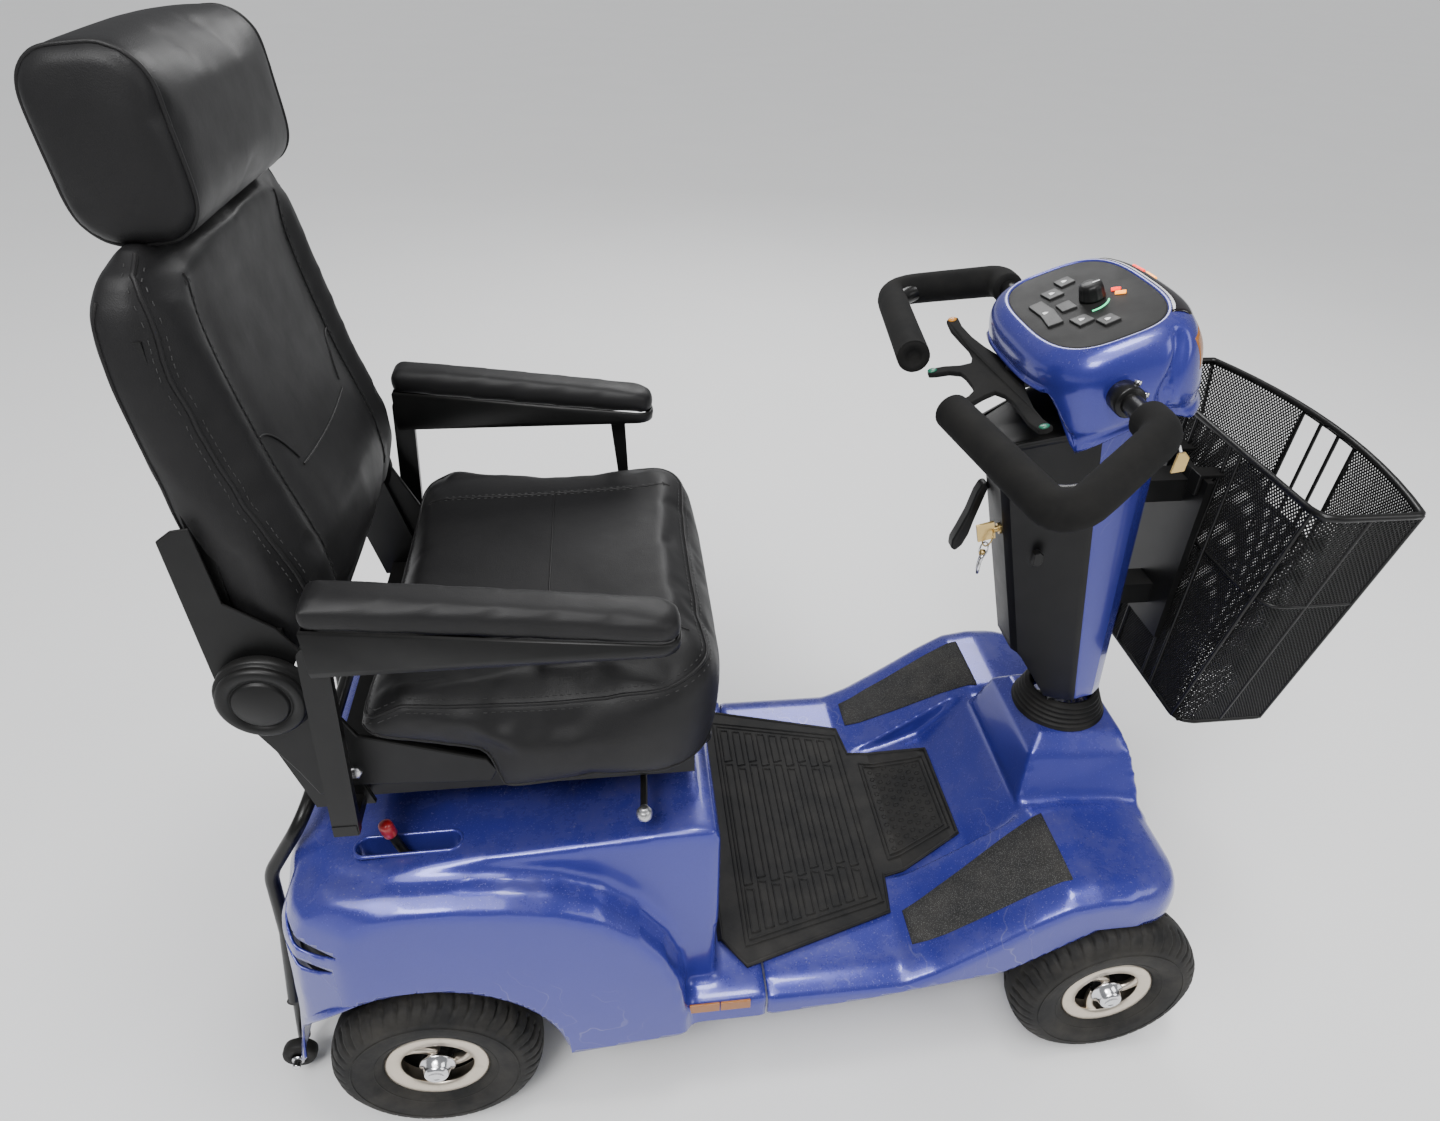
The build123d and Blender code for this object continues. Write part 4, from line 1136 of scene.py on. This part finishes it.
CONSOLE_LEVELS = [
    (-112, -5), (-110, -2), (-106, -1), (-100, -3), (-95, -4), (-88, -1), (-80, 0.5), (-70, 1.5), (-60, 2),
    (-52, 2.5), (-44, 2.5), (-36, 2), (-29, 1), (-22, -0.5), (-16, -2.5), (-11, -5), (-7, -8), (-4, -11),
    (-1.5, -14.5), (0.3, -18), (1.6, -21), (1.8, -23), (0.9, -24.5), (-0.6, -25),
]


def console():
    """The blue housing, open below, with a waist groove, and the dark panel set in its top."""
    rings = []
    for z, grow in CONSOLE_LEVELS:
        ring = []
        for x, y in console_outline(grow):
            lift = z
            if z < -60:
                deep = (-(z + 60) / 52) ** 1.5
                side = max(0, 1 - ((x + 8) / 62) ** 2) * min(1, max(0, (abs(y) - 60) / 40))
                lift += 19 * side * deep
            if z < -36:
                mouth = max(0, min(1, (-(x + 28)) / 36)) * max(0, min(1, (104 - abs(y)) / 14))
                lift = lift + (max(lift, -36) - lift) * mouth
            path = 33 + 13 * math.sin((z + 42) / 19)
            near = math.exp(-(((x - path) / 6.5) ** 2)) * min(1, max(0, (abs(y) - 74) / 22))
            near *= min(1, max(0, -(z + 2) / 12))
            ring.append(panel_point(x - 1.5 * near, y * (1 - 0.085 * near), lift))
        rings.append(ring)
    shell = ring_object("console_body", rings, BLUE, "tiller", caps=False)
    thicken(shell, 2.5)
    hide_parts("console_shell")
    flat = [(x * 0.735 - 0.5, y * 0.80) for x, y in console_outline()]
    rings = []
    for grow, z in ((1.015, -2.2), (1.005, -0.2), (0.995, 0.6), (0.97, 0.9), (0.5, 1.2), (0.02, 1.3)):
        rings.append([panel_point(x * grow, y * grow, z) for x, y in flat])
    plate = ring_object("console_face", rings, PANEL, "tiller")
    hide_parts("console_panel")


KNOB_X = 8
KEY_PLACES = {
    "left_turn_key": [(-9, 66), (9, 69), (11, 51), (-7, 48)],
    "lamp_key": [(-31, 49), (-13, 51), (-10, 31), (-28, 29)],
    "horn_key": [(-52, 30), (-36, 32), (-33, 3), (-36, -30), (-53, -30), (-50, 0)],
    "slow_key": [(-29, 10), (-13, 12), (-12, -9), (-29, -9)],
    "hazard_key": [(-31, -31), (-13, -31), (-10, -49), (-28, -52)],
    "right_turn_key": [(-11, -51), (7, -49), (10, -67), (-8, -69)],
}


def keys_and_knob():
    """Push keys with arrow marks, the speed knob and the panel's lights."""
    for name, corners in KEY_PLACES.items():
        low, high = [[panel_point(x, y, z) for x, y in corners] for z in (0.6, 3.4)]
        cap = ring_object(f"{name}_cap", [low, high], KEY, f"{name}_body", smooth=False)
        round_edges(cap, 0.9)
        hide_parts(name)
        if name == "slow_key":
            continue
        cx = sum(x for x, _ in corners) / len(corners)
        cy = sum(y for _, y in corners) / len(corners)
        arrow = [(4, 0), (0, 3.4), (-4, 3.4), (-4, -3.4), (0, -3.4)]
        mark = [[panel_point(cx + u * 0.75, cy + v * 0.75, z) for u, v in arrow] for z in (3.3, 3.7)]
        ring_object(f"{name}_mark", mark, WHITE, f"{name}_body", smooth=False)
    rings = []
    for r, z in ((13.5, 1.8), (14, 3), (13.2, 4.2), (12.4, 14), (11.8, 17), (10, 18.4), (0.3, 18.6)):
        ring = []
        for a in angles(48):
            reach = r + (0.5 * math.cos(12 * a) if 4 < z < 15 else 0)
            ring.append(panel_point(KNOB_X + reach * math.cos(a), reach * math.sin(a), z))
        rings.append(ring)
    knob = ring_object("knob_body", rings, BLACK, "knob")
    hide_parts("speed_knob")
    pointer = ((2, -0.8), (10, -0.8), (10, 0.8), (2, 0.8))
    mark = [[panel_point(KNOB_X + u, v, z) for u, v in pointer] for z in (18.0, 18.9)]
    ring_object("knob_mark", mark, WHITE, "knob", smooth=False)
    turns = [math.radians(a) for a in range(-95, -28, 8)]
    arc = [(14 * math.cos(a) * 1.8 - 2, 1.9 * 14 * math.sin(a) - 2) for a in turns]
    for name, mat, radius, spots in (
        ("led_amber_strip", GLOW_AMBER, 2.4, [(30, -8), (34, -11), (39, -14)]),
        ("led_red_strip", GLOW_RED, 2.4, [(30, 2), (34, 0), (38, -3)]),
        ("led_green_arc", GLOW_GREEN, 1.0, arc),
    ):
        tube(name, [panel_point(x, y, 1.6) for x, y in spots], radius, mat, "tiller", smooth_path=True)


def shell_front(y, z):
    """How far forward the housing's nose is at a width and height of its own frame."""
    grow = between(CONSOLE_LEVELS, z)
    s = min(abs(y) / (127 + grow), 0.999) ** (1 / 0.66)
    return (90 + grow) * math.sqrt(1 - s * s) ** 0.62 - 2


def lamps():
    """Dark lamp glass over the front edge of the console, and amber lenses at its corners."""
    rings = []
    for i in range(33):
        y = -88 + 176 * i / 32
        reach = math.sqrt(max(0, 1 - (y / 90) ** 4))
        row = []
        for k in range(9):
            t = k / 8
            z = 1.6 - (4 + 20 * reach) * t
            swell = math.sin(PI * t)
            row.append(panel_point(shell_front(y, z) + 0.9 * swell + 0.2, y, z + 1.1 * swell))
        rings.append(row)
    glass = ring_object("lamp_glass", rings, LENS, "tiller", closed=False, caps=False)
    thicken(glass, 0.8)
    for name, mat, y0, y1, z in (("red", GLOW_RED, 52, 30, -6), ("amber", GLOW_AMBER, 28, 8, -8)):
        widths = [y0 + (y1 - y0) * i / 6 for i in range(7)]
        line = [panel_point(shell_front(y, z) + 0.4, y, z + 1) for y in widths]
        tube(f"lamp_glow_{name}", line, 1.9, mat, "tiller", smooth_path=True)
    for sign, side in SIDES:
        rings = []
        for i in range(13):
            y = 74 + 36 * i / 12
            row = []
            for k in range(9):
                z = -24 - 36 * k / 8
                bulge = 1.3 * math.sin(PI * k / 8) * math.sin(PI * i / 12) + 0.2
                row.append(panel_point(shell_front(y, z) + bulge, sign * y, z))
            rings.append(row)
        lens = ring_object(f"turn_lens_{side}", rings, AMBER, "tiller", closed=False, caps=False)
        thicken(lens, 1.0)


# ---- hand controls ----
def bent(points, radius, steps=9):
    """A run of points with its inner corners rounded, sampled closely."""
    out = [points[0]]
    for a, b, c in zip(points, points[1:], points[2:]):
        a, b, c = Vector(a), Vector(b), Vector(c)
        reach = min(radius, (a - b).length * 0.48, (c - b).length * 0.48)
        p, q = b + (a - b).normalized() * reach, b + (c - b).normalized() * reach
        last = Vector(out[-1])
        for k in range(1, 5):
            out.append(tuple(last + (p - last) * k / 5))
        for k in range(steps + 1):
            t = k / steps
            out.append(tuple(p * (1 - t) ** 2 + b * 2 * t * (1 - t) + q * t * t))
    last, end = Vector(out[-1]), Vector(points[-1])
    out += [tuple(last + (end - last) * k / 3) for k in (1, 2, 3)]
    return out


GRIP_PATH = [(BAR_X, 188, BAR_Z), (BAR_X, 222, BAR_Z), (641, 305, 902), (613, 82, 901), (612, 74, 901)]
GRIP_BEND = 45


def grip_steps(i, last):
    """(radius, step along the bar) of the rings at a point of the path, with rounded ends."""
    if i == 0:
        return ((11.5, 0), (17.5, 0), (19.3, 1.5))
    if i == last:
        return ((19.3, -1.5), (17.5, 0), (10, 0), (9, -2), (0.5, -2))
    return ((19.5, 0),)


def grips():
    """Foam sleeves on the bar's two loops, with a slightly uneven surface."""
    for sign, side in SIDES:
        path = bent(GRIP_PATH, GRIP_BEND)
        last = len(path) - 1
        rings = []
        for i, (x, y, z) in enumerate(path):
            before, after = path[max(i - 1, 0)], path[min(i + 1, last)]
            along = (Vector(after) - Vector(before)).normalized()
            across = along.cross(Vector((0, 0, 1))).normalized()
            up = across.cross(along)
            for radius, step in grip_steps(i, last):
                ring = []
                for a in angles(28):
                    r = radius + (SEED.uniform(-0.12, 0.12) if radius > 19 else 0)
                    q = Vector((x, y, z)) + along * step + across * (r * math.cos(a)) + up * (r * math.sin(a))
                    ring.append((q.x, sign * q.y, q.z))
                rings.append(ring)
        foam = ring_object(f"grip_foam_{side}", rings, FOAM, "tiller")
        if side == "left":
            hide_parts("hand_grips")


PADDLE_TILT = math.radians(15)
PADDLE_HALF = [
    (18, 11), (8, 17), (0, 26), (-6, 44), (-12, 70), (-17, 100), (-19, 130), (-17, 152), (-24, 155),
    (-32, 152), (-34, 130), (-32, 100), (-30, 74), (-32, 54), (-38, 40), (-50, 42), (-66, 50), (-80, 53),
    (-87, 50), (-88, 42), (-80, 38), (-66, 34), (-56, 24), (-54, 12),
]


def paddle_point(x, y, z):
    """A point in the speed paddle's own tilted frame; its front arms bow upwards."""
    c, s = math.cos(PADDLE_TILT), math.sin(PADDLE_TILT)
    rise = 0.00035 * y * y * (1 if x > -40 else 0)
    return (705 + c * x - s * (z + rise), y, 921 + s * x + c * (z + rise))


def speed_paddle():
    """A blade with four finger arms, a boss at its pivot and a coloured spot at each tip."""
    outline = PADDLE_HALF + [(x, -y) for x, y in reversed(PADDLE_HALF)]
    rings = [[paddle_point(x, y, z) for x, y in outline] for z in (-11.0, -4.5)]
    blade = ring_object("paddle_blade", rings, FOAM, "speed_paddle", "black_plastic", smooth=False)
    round_edges(blade, 1.8)
    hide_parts("wigwag_lever")
    boss = []
    for r, z in ((11, -16), (11, -3), (9, -1.5), (1, -1)):
        boss.append([paddle_point(r * math.cos(a), r * math.sin(a), z) for a in angles(24)])
    ring_object("paddle_boss", boss, BLACK, "speed_paddle")
    tips = (("front", -1, GREEN), ("front", 1, ORANGE), ("rear", -1, ORANGE), ("rear", 1, GREEN))
    for end, sign, mat in tips:
        cx, cy = (-25, 149) if end == "front" else (-82, 46)
        rings = []
        for r, z in ((6.0, -5.2), (6.0, -3.6), (4.6, -2.8), (0.4, -2.6)):
            spot = [(cx + r * 0.9 * math.cos(a), sign * (cy + r * math.sin(a) * 0.8)) for a in angles(20)]
            rings.append([paddle_point(x, y, z) for x, y in spot])
        ring_object(f"paddle_tip_{end}_{'left' if sign > 0 else 'right'}", rings, mat, "speed_paddle")


def bar_clamps():
    """Clamps where the bar leaves the housing, with two bolts each."""
    clamp = [(0.5, 0), (15, 0), (16.5, 2), (16.5, 20), (15, 22), (0.5, 22)]
    bolt = [(0.3, 0), (4, 0), (4, 4), (2.6, 4.6), (0.3, 4.6)]
    for sign, side in SIDES:
        turned(f"bar_clamp_{side}", clamp, (BAR_X, sign * 132, BAR_Z), STEEL_BLACK, "tiller", sign=sign)
        for k, (dx, dz) in enumerate(((8, 15), (17, 4))):
            place = (BAR_X + dx, sign * (142 + 4 * k), BAR_Z + dz)
            turned(f"clamp_bolt_{side}_{k}", bolt, place, CHROME, "tiller", axis="z", steps=12)


def tie():
    """A white tie from the bar, with a small metal tag."""
    strap = [(796, -138, 934), (802, -152, 929), (804, -168, 922), (804, -184, 915), (803, -196, 908)]
    tube("tie_band", strap, 1.3, WHITE, "tiller", smooth_path=True)
    tag = [(796, 888), (810, 890), (811, 905), (805, 911), (798, 910)]
    prism("tie_tag", tag, -200, -197, BRASS, "tiller", 1.0)


def tilt_paddle():
    """The flat lever behind the column that frees its tilt."""
    outline = [(714, 754), (711, 742), (703, 706), (699, 684), (693, 668), (685, 660), (679, 664), (679, 676)]
    outline += [(685, 692), (693, 716), (699, 744), (704, 756), (710, 758)]
    blade = prism("tilt_blade", outline, 20, 37, BLACK, "tilt_paddle", 3.2)
    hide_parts("tilt_lever")


def key_rings():
    """Two rings and a snap hook that hang from the key."""
    y = -14
    for k, (x, z, r, mat) in enumerate(((709, 702, 11, BRASS), (707, 684, 9, STEEL))):
        loop = [(x + r * 0.35 * math.sin(a), y + r * math.cos(a), z + r * math.sin(a)) for a in angles(28)]
        tube(f"key_ring_{k}", loop, 1.0, mat, "key_switch", closed=True)
    hook = [(705, y - 4, 678), (702, y - 7, 670), (701, y - 8, 660), (703, y - 3, 652), (705, y + 3, 656)]
    hook += [(706, y + 4, 668), (705, y, 676)]
    tube("snap_hook", hook, 2.2, CHROME, "key_switch", smooth_path=True, closed=True)
    swivel = [(0.4, 0), (4, 0), (4.6, 3), (3.4, 7), (0.4, 8)]
    turned("hook_swivel", swivel, (706, y - 1, 676), BRASS, "key_switch", axis="z", steps=20)


def freewheel_lever():
    """A black stem with a red tip."""
    stem = [(10, -209, 400), (4, -211, 430), (-4, -214.5, 462), (-8, -216, 482)]
    rod = tube("freewheel_stem", stem, 5.2, BLACK, "freewheel", smooth_path=True)
    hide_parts("freewheel_lever")
    rings = []
    for t, r in ((0, 6.5), (0.08, 7.6), (0.7, 7.8), (0.92, 7.0), (1.0, 4.5), (1.02, 0.4)):
        cx, cz = -7.5 - 4.5 * t, 477 + 20 * t
        ring = []
        for a in angles(24):
            ring.append((cx + r * math.cos(a), -216.5 + r * math.sin(a), cz + 0.2 * r * math.cos(a)))
        rings.append(ring)
    ring_object("freewheel_tip", rings, RED, "freewheel")


def swivel_lever():
    """The side lever that frees the seat's swivel, with a ball end."""
    ball = [
        (0.3, -9), (5, -8), (8, -4.5), (9, 0), (8.4, 4), (6.5, 6.5), (5, 7.6), (5, 10), (3, 10.5),
        (0.3, 10.5),
    ]
    turned("swivel_ball", ball, (271, -246, 512), STEEL, "swivel_handle", axis="z", steps=28)
    rod = [(273, -130, 518), (273, -190, 516), (271, -240, 513)]
    arm = tube("swivel_arm", rod, 4, STEEL_BLACK, "swivel_handle", smooth_path=True)
    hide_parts("swivel_lever")


# ---- basket ----
def basket_edge(t, half, rear, side, front):
    """A point of the basket's plan, going round from the rear's left corner."""
    runs = [(rear, half - 18), (rear, -half + 18), (rear + 6, -half + 5), (rear + 20, -half), (side, -half)]
    bow = []
    for i in range(1, 12):
        y = -half + 2 * half * i / 12
        bow.append((side + (front - side) * (1 - (y / half) ** 2), y))
    runs += bow + [(side, half), (rear + 20, half), (rear + 6, half - 5)]
    lengths = [math.dist(a, b) for a, b in zip(runs, runs[1:] + runs[:1])]
    want = t * sum(lengths)
    for a, b, length in zip(runs, runs[1:] + runs[:1], lengths):
        if want <= length:
            k = want / length
            return (a[0] + (b[0] - a[0]) * k, a[1] + (b[1] - a[1]) * k)
        want -= length
    return runs[0]


def basket_half(level):
    """Half width of the basket; level runs from 0 at the floor to 1 at the rim."""
    return 135 + 74 * level


def basket_z(level):
    return 480 + 352 * level


def basket_point(t, level):
    """A point of the basket's wall, a share t of the way round."""
    low, high = basket_edge(t, 135, 965.2, 1080, 1104), basket_edge(t, 209, 975.5, 1090, 1128)
    return (low[0] + (high[0] - low[0]) * level, low[1] + (high[1] - low[1]) * level, basket_z(level))


def basket_net():
    """The wire mesh of the walls, with a window in front, and of the floor."""
    around, up = ((210, 58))
    verts = [basket_point(i / around, j / up) for j in range(up + 1) for i in range(around)]
    faces = []
    for j in range(up):
        for i in range(around):
            k = (i + 1) % around
            face = (j * around + i, j * around + k, (j + 1) * around + k, (j + 1) * around + i)
            x, y, z = [sum(verts[n][q] for n in face) / 4 for q in range(3)]
            if not (x > 1060 and abs(y) < 50 and 696 < z < 826):
                faces.append(face)
    base = len(verts)
    rows, cols = 20, 40
    for j in range(rows + 1):
        for i in range(cols + 1):
            y = -134 + 268 * i / cols
            front = 1080 + 24 * (1 - (y / 135) ** 2)
            verts.append((964 + (front - 964) * j / rows, y, 483.6))
    for j in range(rows):
        for i in range(cols):
            a = base + j * (cols + 1) + i
            faces.append((a, a + 1, a + cols + 2, a + cols + 1))
    mesh = diagonal_net(from_points(verts, faces))
    net = add_object("basket_mesh", mesh, STEEL_BLACK, "basket_body", "mesh_black")
    wire = net.modifiers.new("wire", "WIREFRAME")
    wire.thickness = 0.0021
    wire.use_replace = True
    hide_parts("basket")


def diagonal_net(mesh):
    """Turns a square grid into one whose threads cross on the diagonal."""
    b = bmesh.new()
    b.from_mesh(mesh)
    bmesh.ops.poke(b, faces=b.faces)
    old = [e for e in b.edges if len(e.verts[0].link_edges) > 5 and len(e.verts[1].link_edges) > 5]
    bmesh.ops.dissolve_edges(b, edges=old, use_verts=False)
    b.to_mesh(mesh)
    b.free()
    return mesh


def basket_wires():
    """Rim, foot and band, the wires between them, and the two hooks."""
    def wire(name, points, radius, closed=False):
        tube(f"basket_{name}", points, radius, STEEL_BLACK, "basket_body", "mesh_black", closed=closed)

    count = 120
    for name, level, radius in (("rim", 1.0, 4.2), ("band", 0.62, 2.4), ("foot", 0.004, 3.4)):
        wire(name, [basket_point(i / count, level) for i in range(count)], radius, closed=True)
    for k, y in enumerate((-50, -17, 17, 50)):
        points = []
        for j in range(9):
            level = 0.615 + 0.385 * j / 8 if k in (1, 2) else j / 8
            x = (1080 + 10 * level) + (24 + 14 * level) * (1 - (y / basket_half(level)) ** 2)
            points.append((x, y, basket_z(level)))
        wire(f"front_wire_{k}", points, 2.4)
    for sign, side in SIDES:
        for k, share in enumerate((0.0, 0.5, 1.0)):
            points = []
            for j in range(9):
                level = j / 8
                rear, front = 965 + 10 * level, 1080 + 10 * level
                half = basket_half(level) - (16 if share == 0 else 0)
                points.append((rear + (front - rear) * share, sign * half, basket_z(level)))
            wire(f"side_wire_{side}_{k}", points, 2.4)
    for k, y in enumerate((-60, -38, 38, 60)):
        wire(f"rear_wire_{k}", [(963.5 + 11 * j / 8, y, 482 + 348 * j / 8) for j in range(9)], 2.6)
    hook = [(943, 768), (943, 795), (977, 795), (977, 791), (947.5, 790.8), (947.5, 768)]
    for sign, side in SIDES:
        y0, y1 = sorted((sign * 24, sign * 45))
        prism(f"basket_hook_{side}", hook, y0, y1, STEEL_BLACK, "basket_body", 0.8, "mesh_black")


# ---- deck ----
def mat_height(x):
    return between([(360, 202.4), (606, 202.4), (640, 205.5), (735, 243.8)], x)


def mat_half(x):
    return between([(366, 200), (396, 244), (604, 182), (607, 124), (640, 118), (727, 87)], x)


def fine_loop(loop):
    """A closed outline with a point at least every 20 mm."""
    dense = []
    for a, b in zip(loop, loop[1:] + loop[:1]):
        count = max(1, int(math.dist(a, b) / 20))
        dense += [(a[0] + (b[0] - a[0]) * i / count, a[1] + (b[1] - a[1]) * i / count) for i in range(count)]
    return dense


def mat_sheet():
    """The mat's flat skin, with turned-down edges."""
    verts, faces = [], []
    places = [362, 366, 381, 396, 430, 470, 510, 550, 590, 604, 607, 640, 665, 690, 712, 727]
    hem = -3.4
    for x in places:
        half = mat_half(x)
        across = [(-half, hem), (-half, -0.8), (1.2 - half, 0)]
        across += [(-half + half * k / 6, 0.05) for k in range(1, 12)]
        across += [(half - 1.2, 0), (half, -0.8), (half, hem)]
        at_end = x in (places[0], places[-1])
        verts += [(x, y, mat_height(x) + (hem if at_end else lift)) for y, lift in across]
    row = len(verts) // len(places)
    for i in range(len(places) - 1):
        for k in range(i * row, i * row + row - 1):
            faces.append((k, k + 1, k + row + 1, k + row))
    sheet = add_object("mat_sheet", fix_normals(from_points(verts, faces)), MAT, "chassis", smooth=False)
    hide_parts("floor_mat")


def ridge(verts, faces, points, half=1.5, tall=2.0):
    """Adds a low rounded rib along a closed outline on the mat."""
    n = len(points)
    base = len(verts)
    for i, (x, y) in enumerate(points):
        px, py = points[i - 1]
        qx, qy = points[(i + 1) % n]
        tx, ty = qx - px, qy - py
        size = math.hypot(tx, ty) or 1
        nx, ny = -ty / size, tx / size
        for offset, lift in ((-half, -0.6), (-half * 0.5, tall), (half * 0.5, tall), (half, -0.6)):
            verts.append((x + nx * offset, y + ny * offset, mat_height(x) + lift))
    for i in range(n):
        a, b = base + 4 * i, base + 4 * ((i + 1) % n)
        for k in range(3):
            faces.append((a + k, a + k + 1, b + k + 1, b + k))


def mat_ridges():
    """Raised outlines on the mat: a border, three rows of long slots and a dotted toe panel."""
    loops = [
        [(398, 214), (598, 165), (598, -165), (398, -214)],
        [(404, 205), (590, 158), (590, -158), (404, -205)],
    ]
    for i in range(9):
        x0 = 409 + 19.6 * i
        x1 = x0 + 11.5
        y_edge = 196 - 0.25 * (x0 - 404)
        shift = 9 * (i % 2)
        inner = 118 - 0.11 * (x0 - 404)
        left, middle = (y_edge, inner + 6 - shift), (inner - shift, -inner + shift)
        right = (-inner - 6 + shift, -y_edge)
        for y0, y1 in (left, middle, right):
            loops.append([(x0, y0), (x1, y0 - 2), (x1, y1 + 2), (x0, y1)])
    loops.append([(622, 96), (622, -96), (716, -72), (716, 72)])
    loops.append([(627, 88), (627, -88), (710, -66), (710, 66)])
    verts, faces = [], []
    for loop in loops:
        ridge(verts, faces, fine_loop(loop))
    for i in range(7):
        for j in range(11):
            x, y = 636 + 10.8 * i, -78 + 15.2 * j + (7 if i % 2 else 0)
            if abs(y) < 84 - 0.24 * (x - 627):
                dot = [(x + 3.4 * math.cos(a), y + 3.4 * math.sin(a)) for a in angles(8)]
                ridge(verts, faces, dot, half=0.8, tall=1.0)
    edge = [(x, mat_half(x) - 3) for x in (368, 396, 450, 500, 550, 602)]
    edge += [(609, 121), (640, 115), (724, 85)]
    edge += [(x, -y) for x, y in reversed(edge)]
    ridge(verts, faces, fine_loop(edge), half=2.4, tall=1.8)
    add_object("mat_ridges", fix_normals(from_points(verts, faces)), MAT, "chassis")


def fender_grit():
    """A gritty pad on each front fender."""
    for sign, side in SIDES:
        rings = []
        for i in range(25):
            x = 619 + 194 * i / 24
            y0 = between([(619, 184), (640, 178), (813, 134)], x)
            y1 = between([(619, 238), (660, 243), (813, 246)], x)
            top = between([(600, 196.5), (640, 214), (700, 254), (760, 297), (800, 321), (845, 328)], x)
            across = [(y0, -1), (y0 + 1.5, 2.6), (y0 + (y1 - y0) * 0.33, 2.8), (y0 + (y1 - y0) * 0.66, 2.7)]
            across += [(y1 - 1.5, 1.9), (y1, -2)]
            rings.append([(x, sign * y, top + lift - 12 * max(0, (y - 244) / 40) ** 2) for y, lift in across])
        pad = ring_object(f"grit_{side}", rings, GRIT, "chassis")
        if side == "left":
            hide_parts("fender_pads")


def reflectors():
    """Two amber reflectors on each sill."""
    for sign, side in SIDES:
        for k, (x0, x1) in enumerate(((317, 355.4), (356.6, 395))):
            outline = [(x0, 178), (x1, 178), (x1, 194), (x0, 194)]
            y0, y1 = sorted((sign * 283.6, sign * 287))
            piece = prism(f"reflector_{side}_{k}", outline, y0, y1, AMBER, "chassis", 1.0)
            if side == "left" and k == 0:
                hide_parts("side_reflectors")


column()
bellows()
console()
keys_and_knob()
lamps()
grips()
speed_paddle()
bar_clamps()
tie()
tilt_paddle()
key_rings()
freewheel_lever()
swivel_lever()
basket_net()
basket_wires()
mat_sheet()
mat_ridges()
fender_grit()
reflectors()

# ---- CAD pieces that show as they are ----
KEPT = (
    (STEEL_BLACK, ["main_frame", "rear_guard_frame", "tiller_frame", "handlebar", "basket_bracket"]),
    (STEEL_BLACK, ["swivel_plate", "seat_frame", "slide_release_bar", "backrest_frame"]),
    (STEEL, ["tie_rod", "seat_post", "steering_shaft", "headrest_posts"]),
    (CAST, ["drive_transaxle", "steering_knuckle_left", "steering_knuckle_right"]),
    (KEY, ["batteries", "controller_box"]), (BRASS, ["ignition_key"]),
)
for kept_mat, kept_nodes in KEPT:
    for node in kept_nodes:
        NODES[node].data.materials.clear()
        NODES[node].data.materials.append(kept_mat)


# ---- studio ----
def studio():
    """A pale floor, a soft sky and sun, and four soft lamps."""
    bpy.ops.mesh.primitive_plane_add(size=90, location=(0, 0, 0))
    floor = bpy.context.object
    floor.name = "floor"
    m = Nodes("studio_floor")
    floor.data.materials.append(m.finish(m.mix(m.noise(2.0), (0.86, 0.86, 0.86), (0.90, 0.90, 0.90)), 0.8))
    world = bpy.data.worlds.new("studio")
    bpy.context.scene.world = world
    world.use_nodes = True
    world.node_tree.nodes["Background"].inputs["Color"].default_value = (0.95, 0.97, 1.0, 1)
    world.node_tree.nodes["Background"].inputs["Strength"].default_value = 0.30
    sun = bpy.data.lights.new("soft_sun", "SUN")
    sun.energy = 1.9
    sun.angle = math.radians(40)
    sky = bpy.data.objects.new("soft_sun", sun)
    sky.rotation_euler = (math.radians(24), math.radians(-14), 0)
    bpy.context.scene.collection.objects.link(sky)
    for name, place, power, size in (
        ("key", (-1.2, -2.4, 3.4), 70, 1.0), ("fill", (2.6, -1.6, 2.2), 25, 1.6),
        ("back", (0.6, 2.8, 2.6), 45, 1.2), ("top", (0.2, -0.3, 3.8), 45, 0.7),
    ):
        light = bpy.data.lights.new(name, "AREA")
        light.energy = power
        light.size = size
        lamp = bpy.data.objects.new(name, light)
        bpy.context.scene.collection.objects.link(lamp)
        lamp.location = place
        lamp.rotation_euler = (Vector((0, 0, 0.5)) - Vector(place)).to_track_quat("-Z", "Y").to_euler()


def camera():
    """Camera above the right side, looking down and a little forward."""
    azimuth, elevation, roll = math.radians(-8.9), math.radians(35.5), math.radians(-2.3)
    level = math.cos(elevation)
    back = Vector((math.sin(azimuth) * level, -math.cos(azimuth) * level, math.sin(elevation)))
    right = (-back).cross(Vector((0, 0, 1))).normalized()
    down = (-back).cross(right)
    c, s = math.cos(roll), math.sin(roll)
    right, down = c * right + s * down, -s * right + c * down
    lens = bpy.data.cameras.new("camera")
    lens.sensor_width = 36
    lens.lens = 24.1
    lens.shift_x = -0.0177
    lens.shift_y = 0.0207
    lens.clip_end = 50
    cam = bpy.data.objects.new("camera", lens)
    bpy.context.scene.collection.objects.link(cam)
    turn = Matrix((right, -down, back)).transposed()
    cam.matrix_world = Matrix.Translation(P(260, -969, 1329)) @ turn.to_4x4()
    bpy.context.scene.camera = cam


studio()
camera()
